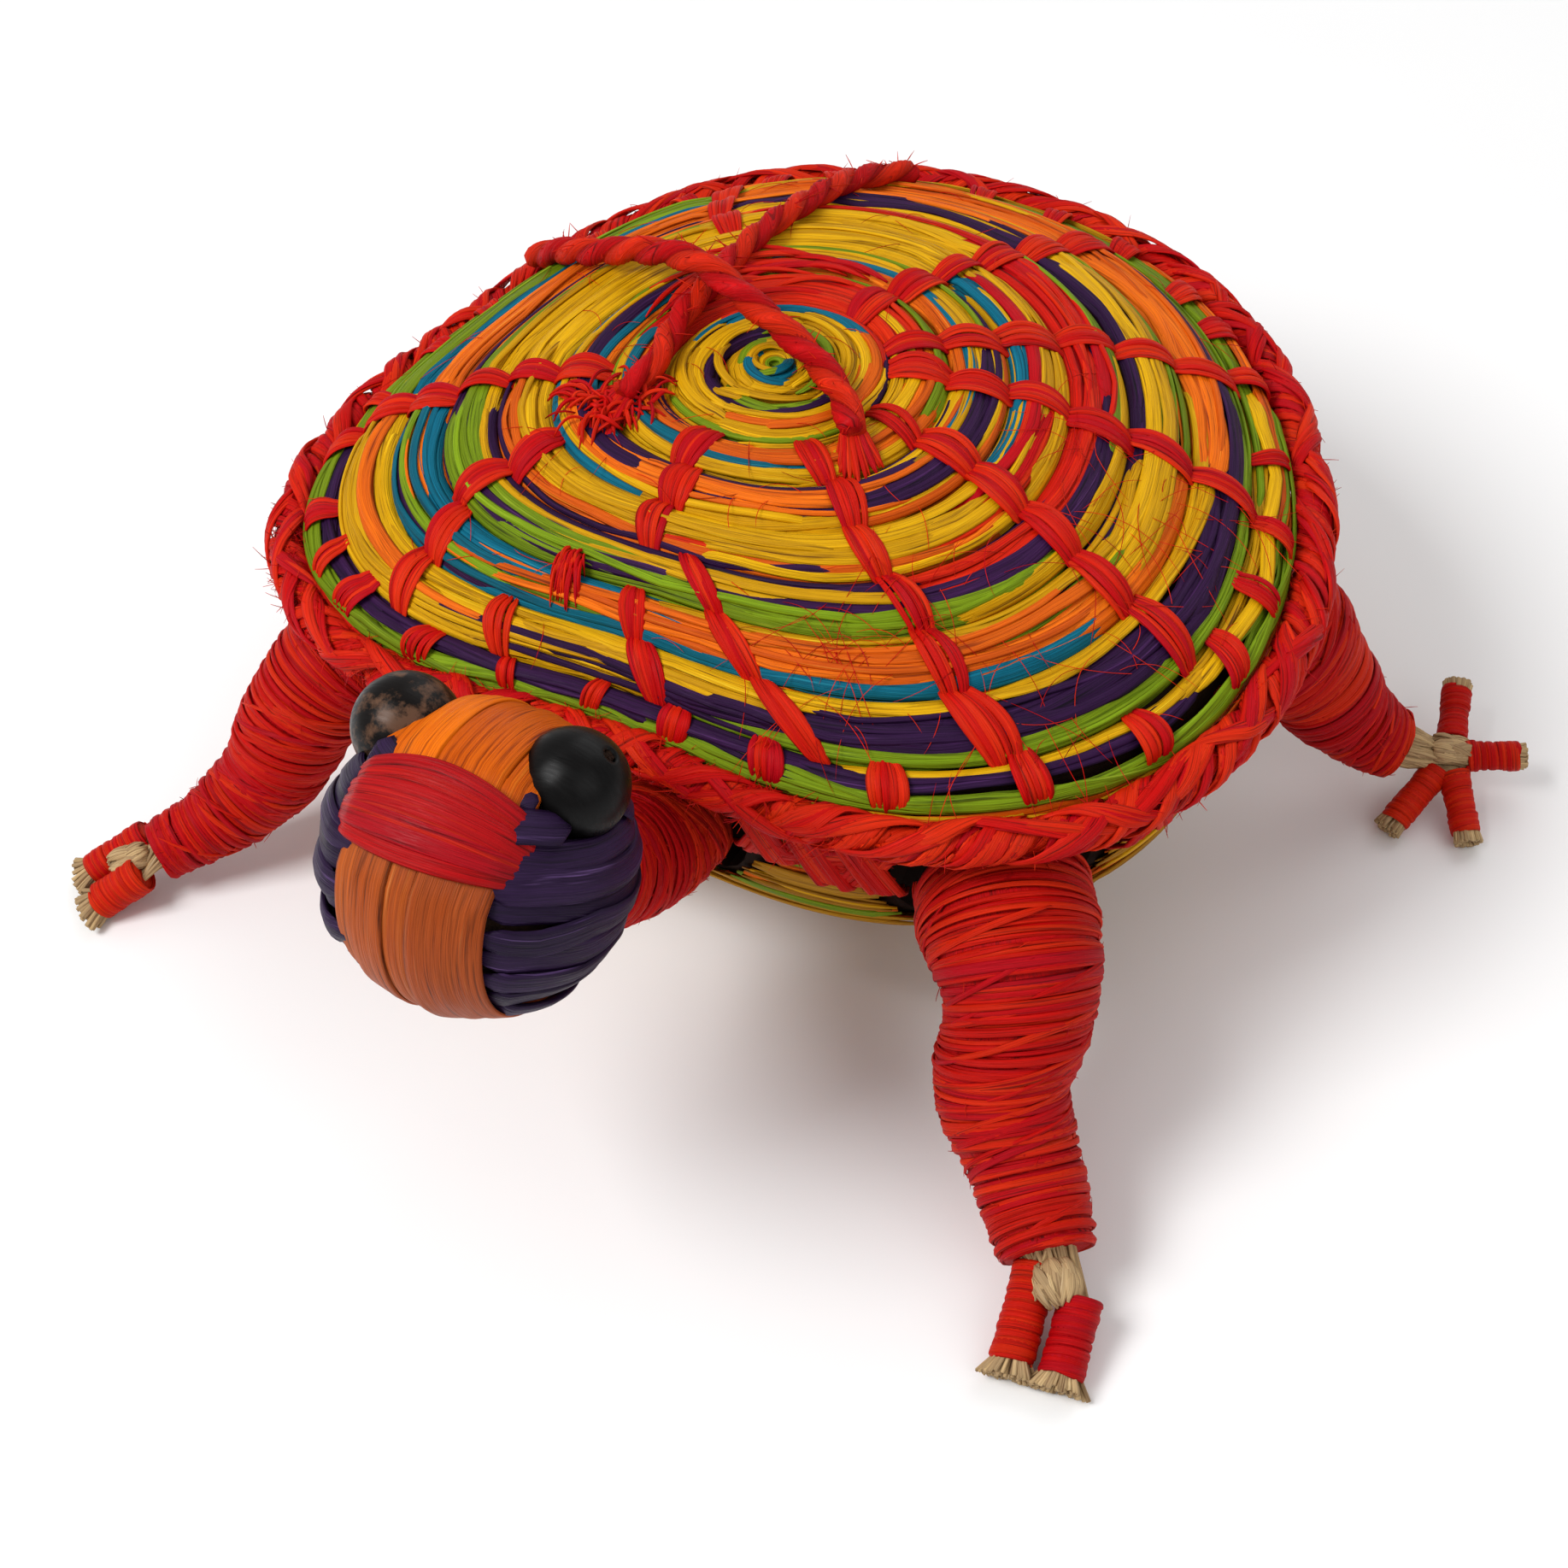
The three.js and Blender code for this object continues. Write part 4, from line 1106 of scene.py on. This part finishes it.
def add_foot(leg, key, tube):
    """The leg's fibre bundle: it splits at the palm into toes, which end in cut, splayed fibre."""
    fibres = Fibres()
    for toe in leg["toes"]:
        line = toe_path(leg, toe, 0.25, 1.0, 4)
        way = unit(line[-1] - line[0])
        across = unit(np.cross(way, (0.1, 0.2, 1.0)))
        over = np.cross(across, way)
        fan = np.array([1.7, 1.5, 1.55, 2.1] if len(leg["toes"]) == 4 else [2.0, 1.9, 2.2, 4.3])[:, None]
        flat = np.array([1.0, 1.0, 1.0, 0.8 if len(leg["toes"]) == 4 else 0.62])[:, None]
        for _ in range(TOE_STRANDS):
            turn, share = rng.uniform(0, 2 * math.pi), math.sqrt(rng.uniform(0.15, 1))
            spread = across * math.cos(turn) + over * math.sin(turn)
            aside = (across * math.cos(turn) + over * math.sin(turn) * flat) * share * fan
            last = np.array([0.8, 0.9])
            root, _ = tube.at(last, turn, -tube.radius(last) * (1 - 0.62 * share) - 0.4)
            body = line + aside
            body[-1] += way * rng.uniform(-0.35, 0.25)
            path, _ = curve_through(np.vstack([root, body]), step=1.1)
            path[:, 2] = np.maximum(path[:, 2], 0.55)
            fibres.sweep(path, spread, rng.uniform(0.24, 0.44), rng.uniform(0.22, 0.34), ROUND, ribs=0.3)
    palm = np.array(leg["route"][-1], float)
    for _ in range(26):
        way = unit(tube.tangent[-1] * (1, 1, 0.4) + rng.normal(size=3) * 0.16)
        out = unit(np.cross(way, (0, 0, 1)) * rng.uniform(-1.2, 1.2) + np.array([0, 0, 0.9]))
        t = np.linspace(-1, 1, 9)[:, None]
        path = palm + out * (leg["radii"][-1] * 0.66) * np.sqrt(1 - 0.6 * t ** 2) + way * 3.2 * t
        path[:, 2] = np.maximum(path[:, 2], 0.6)
        fibres.sweep(path, out, 0.75, 0.3, taper=0.1)
    fibres.build(f"foot_fibres_{key}", NATURAL, f"leg_{key}", "natural_fibre", [f"leg_core_{key}"])
    for number, toe in enumerate(leg["toes"], 1):
        short = toe[2] < 10
        star = len(leg["toes"]) == 4
        start = 0.2 if star else (0.02, -0.22)[number - 1] - 0.2 * short
        line = toe_path(leg, toe, start, 0.9 if star else (0.74 if short else 0.84), 4)
        wrap = Tube(line, (2.3, 2.05, 2.15) if star else (2.9, 2.7, 2.9), 40)
        fibres = Fibres()
        skin_under(fibres, wrap, 0.02, 0.98, 18)
        for phase in (0.0, 2.6):
            wind(fibres, wrap, 0.02, 0.98, 1.25, 0.62, 0.28, lift=0.12, phase=phase, rough=0.14, step=0.9)
        for points in fibres.points:
            points[:, 2] = np.maximum(points[:, 2], 0.3)
        node = f"toe_wrap_{key}_{number}"
        fibres.build(f"{node}_fibres", RED_WRAP, f"leg_{key}", "red_wrap", [node])


def add_legs():
    for key, leg in LEGS.items():
        tube = Tube(leg["route"], leg["radii"])
        tube.swell(0.05)
        tube.flare(leg.get("flare", LEG_FLARE), 0.36)
        for shift, middle, width in leg.get("sways", ()):
            tube.sway(shift, middle, width)
        node = f"leg_wrap_{key}"
        wrapped_limb(tube, leg["wrapped"], f"{node}_fibres", f"leg_{key}", [node])
        add_foot(leg, key, tube)


def add_neck():
    tube = Tube(NECK_ROUTE, (NECK_RADIUS, NECK_RADIUS))
    reach = np.linalg.norm(tube.centre - HEAD_CENTRE, axis=1)
    end = float(tube.shares[np.argmax(reach < HEAD_RADIUS + 0.4)])
    wrapped_limb(tube, end, "neck_wrap_fibres", "neck", ["neck_wrap"], hair=900)
    collar = Fibres()
    for turn in range(26):
        spin = np.linspace(0, 2 * math.pi, 60)
        beyond = 6.5 * (turn % 13) / 13 / tube.length
        share = np.minimum(end + beyond + 0.003 * smooth_noise(60, 9), 1)
        points, outs = tube.at(share, spin, rng.uniform(-0.5, 0.1))
        away = points - HEAD_CENTRE
        gap = np.linalg.norm(away, axis=1, keepdims=True)
        points = HEAD_CENTRE + away / gap * np.maximum(gap, HEAD_RADIUS - 2.2)
        collar.sweep(points, outs, rng.uniform(0.35, 0.6), 0.25, taper=0.05)
    collar.build("neck_collar_fibres", RED_WRAP, "neck", "red_wrap")


# ---------------------------------------------------------------- head

def on_head(across, angle, lift=0.0):
    """A point on the head: across is how far to the left, and angle is from straight ahead upwards."""
    across, angle = np.broadcast_arrays(np.asarray(across, float), np.asarray(angle, float))
    radius = HEAD_RADIUS + lift
    ring = np.sqrt(np.maximum(radius ** 2 - across ** 2, 0.01))
    out = np.column_stack([across, -ring * np.cos(angle), ring * np.sin(angle)])
    return HEAD_CENTRE + out, unit(out)


def dip_at_ends(count):
    """From 0 at both ends of a strip to 1 a few points in, so that its ends tuck under."""
    return np.clip(np.minimum(np.arange(count), np.arange(count)[::-1]) / 4, 0, 1)


def head_strip(fibres, across, angle, half, lift, thick=0.42):
    """A flat ribbed strip laid over the head along one line."""
    ends = dip_at_ends(len(across))
    points, outs = on_head(across, angle, lift - thick - (1 - ends) * 0.9)
    lobes = np.array([(1, 0), (0.86, 0.75), (0.6, 1.0), (0.34, 0.8), (0.08, 1.05), (-0.2, 0.82),
                      (-0.46, 1.02), (-0.7, 0.85), (-0.9, 0.7), (-1, 0), (-0.5, -0.6), (0.5, -0.6)])
    fibres.sweep(points, outs, half, thick, lobes, ribs=0.14)


def add_head():
    right, left = BAND_SIDES
    steps = np.linspace(0, 1, 40)
    crown, nose, chin = Fibres(), Fibres(), Fibres()
    for number, lane in enumerate(np.linspace(right + 1.4, left - 2.0, 5)):
        lean = rng.uniform(-0.8, 0.8)
        angle = np.radians(76 + 112 * steps)
        head_strip(crown, lane + lean * steps * (1 if number else 0), angle, 2.6, 0.05 + 0.3 * (number % 2))
    for number, degrees in enumerate((47.5, 53, 58.5, 64, 69.5, 75)):
        across = right - 2.0 + (left - right + 3.6) * steps
        pinch = 0.72 + 0.28 * np.sin(steps * math.pi) ** 0.7
        arch = 1.5 * np.sin(steps * math.pi)
        angle = np.radians(61.5 + (degrees - 61.5) * pinch + arch + rng.uniform(-1, 1))
        bulge = 0.45 + 0.5 * (1 - ((degrees - 61.5) / 18) ** 2) + 0.12 * (number % 2)
        head_strip(nose, across, angle, 2.0 * pinch, bulge, 0.5)
    for number, (lane, half) in enumerate(((-7.6, 2.2), (-4.2, 2.6), (-0.6, 2.4), (6.6, 4.6), (2.6, 2.8))):
        angle = np.radians(48 - 146 * steps)
        head_strip(chin, lane + 0.6 * np.sin(steps * 2 + number), angle, half, 0.0 + 0.3 * (number % 2))
    crown.build("crown_band_strips", HEAD_ORANGE, "head", "orange_strip", ["crown_band"])
    nose.build("nose_band_strips", HEAD_RED, "head", "red_strip", ["nose_band"])
    chin.build("chin_band_strips", CHIN_ORANGE_SHADED, "head", "orange_strip", ["chin_band"])
    for side, name in ((1, "left"), (-1, "right")):
        cheek = Fibres()
        edge = left if side > 0 else -right
        for number in range(11):
            level = -17.0 + number * 3.05 + rng.uniform(-0.4, 0.4)
            add_cheek_strip(cheek, side, edge, level, number)
        cheek.build(f"cheek_band_{name}_strips", HEAD_PURPLE, "head", "purple_strip", [f"cheek_band_{name}"])
        add_eye(side, name)


def add_cheek_strip(fibres, side, edge, level, number):
    """A strip round the side of the head, from the middle bands' edge back towards the neck."""
    tilt = math.radians(-28)
    radius = HEAD_RADIUS + 0.05 + 0.35 * (number % 2)
    twist = rng.uniform(-0.5, 0.5)
    forward = np.linspace(-1, 1, 36)
    ring = math.sqrt(max(radius ** 2 - level ** 2, 4.0))
    limit = math.acos(min(max((edge - 1.5) / ring, -1), 1))
    turn = forward * limit
    height = level + 1.6 * twist * np.sin(forward * 1.7) + 0.5 * smooth_noise(36, 9)
    local = np.column_stack([side * ring * np.cos(turn), ring * np.sin(turn), height])
    spun = np.column_stack([local[:, 0], local[:, 1] * math.cos(tilt) - local[:, 2] * math.sin(tilt),
                            local[:, 1] * math.sin(tilt) + local[:, 2] * math.cos(tilt)])
    ends = dip_at_ends(36)
    outs = unit(spun)
    eye = np.array([side * EYE_OFFSET[0], *EYE_OFFSET[1:]])
    clear = np.linalg.norm(spun - eye, axis=1) > EYE_RADIUS + 0.2
    points = HEAD_CENTRE + spun - outs * (0.45 + (1 - ends[:, None]) * 0.9)
    for first, last in runs(clear, 5):
        lean = np.cross(outs, (0, 0, 1)) * twist
        wide = 2.1 * (1 + 0.2 * smooth_noise(last - first, 8))
        fibres.sweep(points[first:last], (outs + lean)[first:last], wide, 0.55, FLAT, taper=0.08)


def add_eye(side, name):
    """A drilled seed, with the tie that holds it to the head filling its hole."""
    offset = np.array([side * EYE_OFFSET[0], *EYE_OFFSET[1:]])
    out = unit(offset)
    hole = 0.92
    first = math.asin(hole / EYE_RADIUS)
    turn = np.linspace(first, math.pi - first, 40)
    outline = [(EYE_RADIUS * math.sin(a), EYE_RADIUS * math.cos(a)) for a in turn]
    outline = [(hole * 0.86, outline[0][1] - 0.7), *outline, (hole * 0.86, outline[-1][1] + 0.7)]
    sides = 56
    spin = np.arange(sides) / sides * 2 * math.pi
    across = unit(np.cross(out, (0, 1, 0)))
    over = np.cross(out, across)
    around = np.cos(spin)[:, None] * across + np.sin(spin)[:, None] * over
    grid = [HEAD_CENTRE + offset + out * height + radius * around for radius, height in outline]
    faces = ring_faces(0, len(grid), sides, closed=True)
    material = BLACK_SEED if side > 0 else BROWN_SEED
    seed = new_piece(f"eye_seed_{name}", np.vstack(grid), faces, material=material)
    keep(seed, "head", [f"eye_{name}"])
    tie = Fibres()
    for strand in range(4):
        steps = np.linspace(-1, 1, 24)[:, None]
        turn = strand * math.pi / 2 + steps * 4
        path = HEAD_CENTRE + offset + out * steps * (EYE_RADIUS - 0.25)
        path = path + 0.4 * (np.cos(turn) * across + np.sin(turn) * over)
        tie.sweep(path, across, 0.44, 0.44, ROUND)
    tie.build(f"eye_tie_{name}_fibres", UNDER, "head", "natural_fibre", [f"eye_tie_{name}"])


def dress_cores():
    """The bundles inside the neck and the head stay as the CAD has them, coloured dark brown: painted shade
    where they show in the gaps between the strips over them.
    """
    for node in ("neck_core", "head_core"):
        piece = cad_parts[node]
        for slot in piece.material_slots:
            slot.link = "OBJECT"
            slot.material = CORE_PAINTED_SHADE


def painted_shade_core_material():
    shader = Shader("core_fibre_painted_shade")
    place = shader.node("TexCoord").outputs["Object"]
    streaks = shader.noise(shader.stretched(place, (900, 160, 900)), 1.0, 4.0, 0.6)
    # Painted shade: these dark browns stand in for the shade in the gaps between the head's and neck's
    # strips, where the core shows.
    colour = shader.ramp(streaks, [(0.3, srgb(20, 11, 8)), (0.7, srgb(78, 50, 30))])
    shader.put(shader.surface, "Base Color", colour)
    shader.put(shader.surface, "Roughness", shader.spread(streaks, 0.7, 0.95))
    shader.put(shader.surface, "Normal", shader.bump(streaks, 0.0003))
    return shader.material


CORE_PAINTED_SHADE = painted_shade_core_material()

# ---------------------------------------------------------------- floor and light

def add_stage():
    mesh = bpy.data.meshes.new("floor")
    size = 3.0
    corners = [(-size, -size, 0), (size, -size, 0), (size, size, 0), (-size, size, 0)]
    mesh.from_pydata(corners, [], [(0, 1, 2, 3)])
    floor = bpy.data.objects.new("floor", mesh)
    bpy.context.scene.collection.objects.link(floor)
    shader = Shader("pale_floor")
    place = shader.node("TexCoord").outputs["Object"]
    tone = shader.noise(shader.stretched(place, (9, 9, 9)), 1.0, 2.0, 0.5)
    greys = [(0.0, (0.86, 0.86, 0.86, 1)), (1.0, (0.9, 0.9, 0.9, 1))]
    shader.put(shader.surface, "Base Color", shader.ramp(tone, greys))
    shader.surface.inputs["Roughness"].default_value = 0.9
    mesh.materials.append(shader.material)
    world = bpy.data.worlds.new("studio")
    world.use_nodes = True
    world.node_tree.nodes["Background"].inputs["Color"].default_value = (1, 1, 1, 1)
    world.node_tree.nodes["Background"].inputs["Strength"].default_value = 0.5
    bpy.context.scene.world = world
    lamps = (("key", (-0.35, -0.45, 0.75), 0.4, 6.5), ("fill", (0.65, -0.3, 0.55), 0.6, 1.2),
             ("back", (0.1, 0.7, 0.7), 0.8, 2.4))
    for name, place, size, power in lamps:
        lamp = bpy.data.objects.new(f"{name}_light", bpy.data.lights.new(f"{name}_light", "AREA"))
        lamp.data.size = size
        lamp.data.energy = power
        lamp.location = place
        lamp.rotation_euler = (Vector((0, 0, 0.04)) - Vector(place)).to_track_quat("-Z", "Y").to_euler()
        bpy.context.scene.collection.objects.link(lamp)
    bpy.context.scene.view_settings.view_transform = "Standard"


add_camera()
add_top_cords()
add_carapace()
add_stitches()
add_tufts()
add_rim()
add_belly()
add_side_lacings()
add_legs()
add_neck()
add_head()
dress_cores()
add_stage()

bpy.context.view_layer.update()
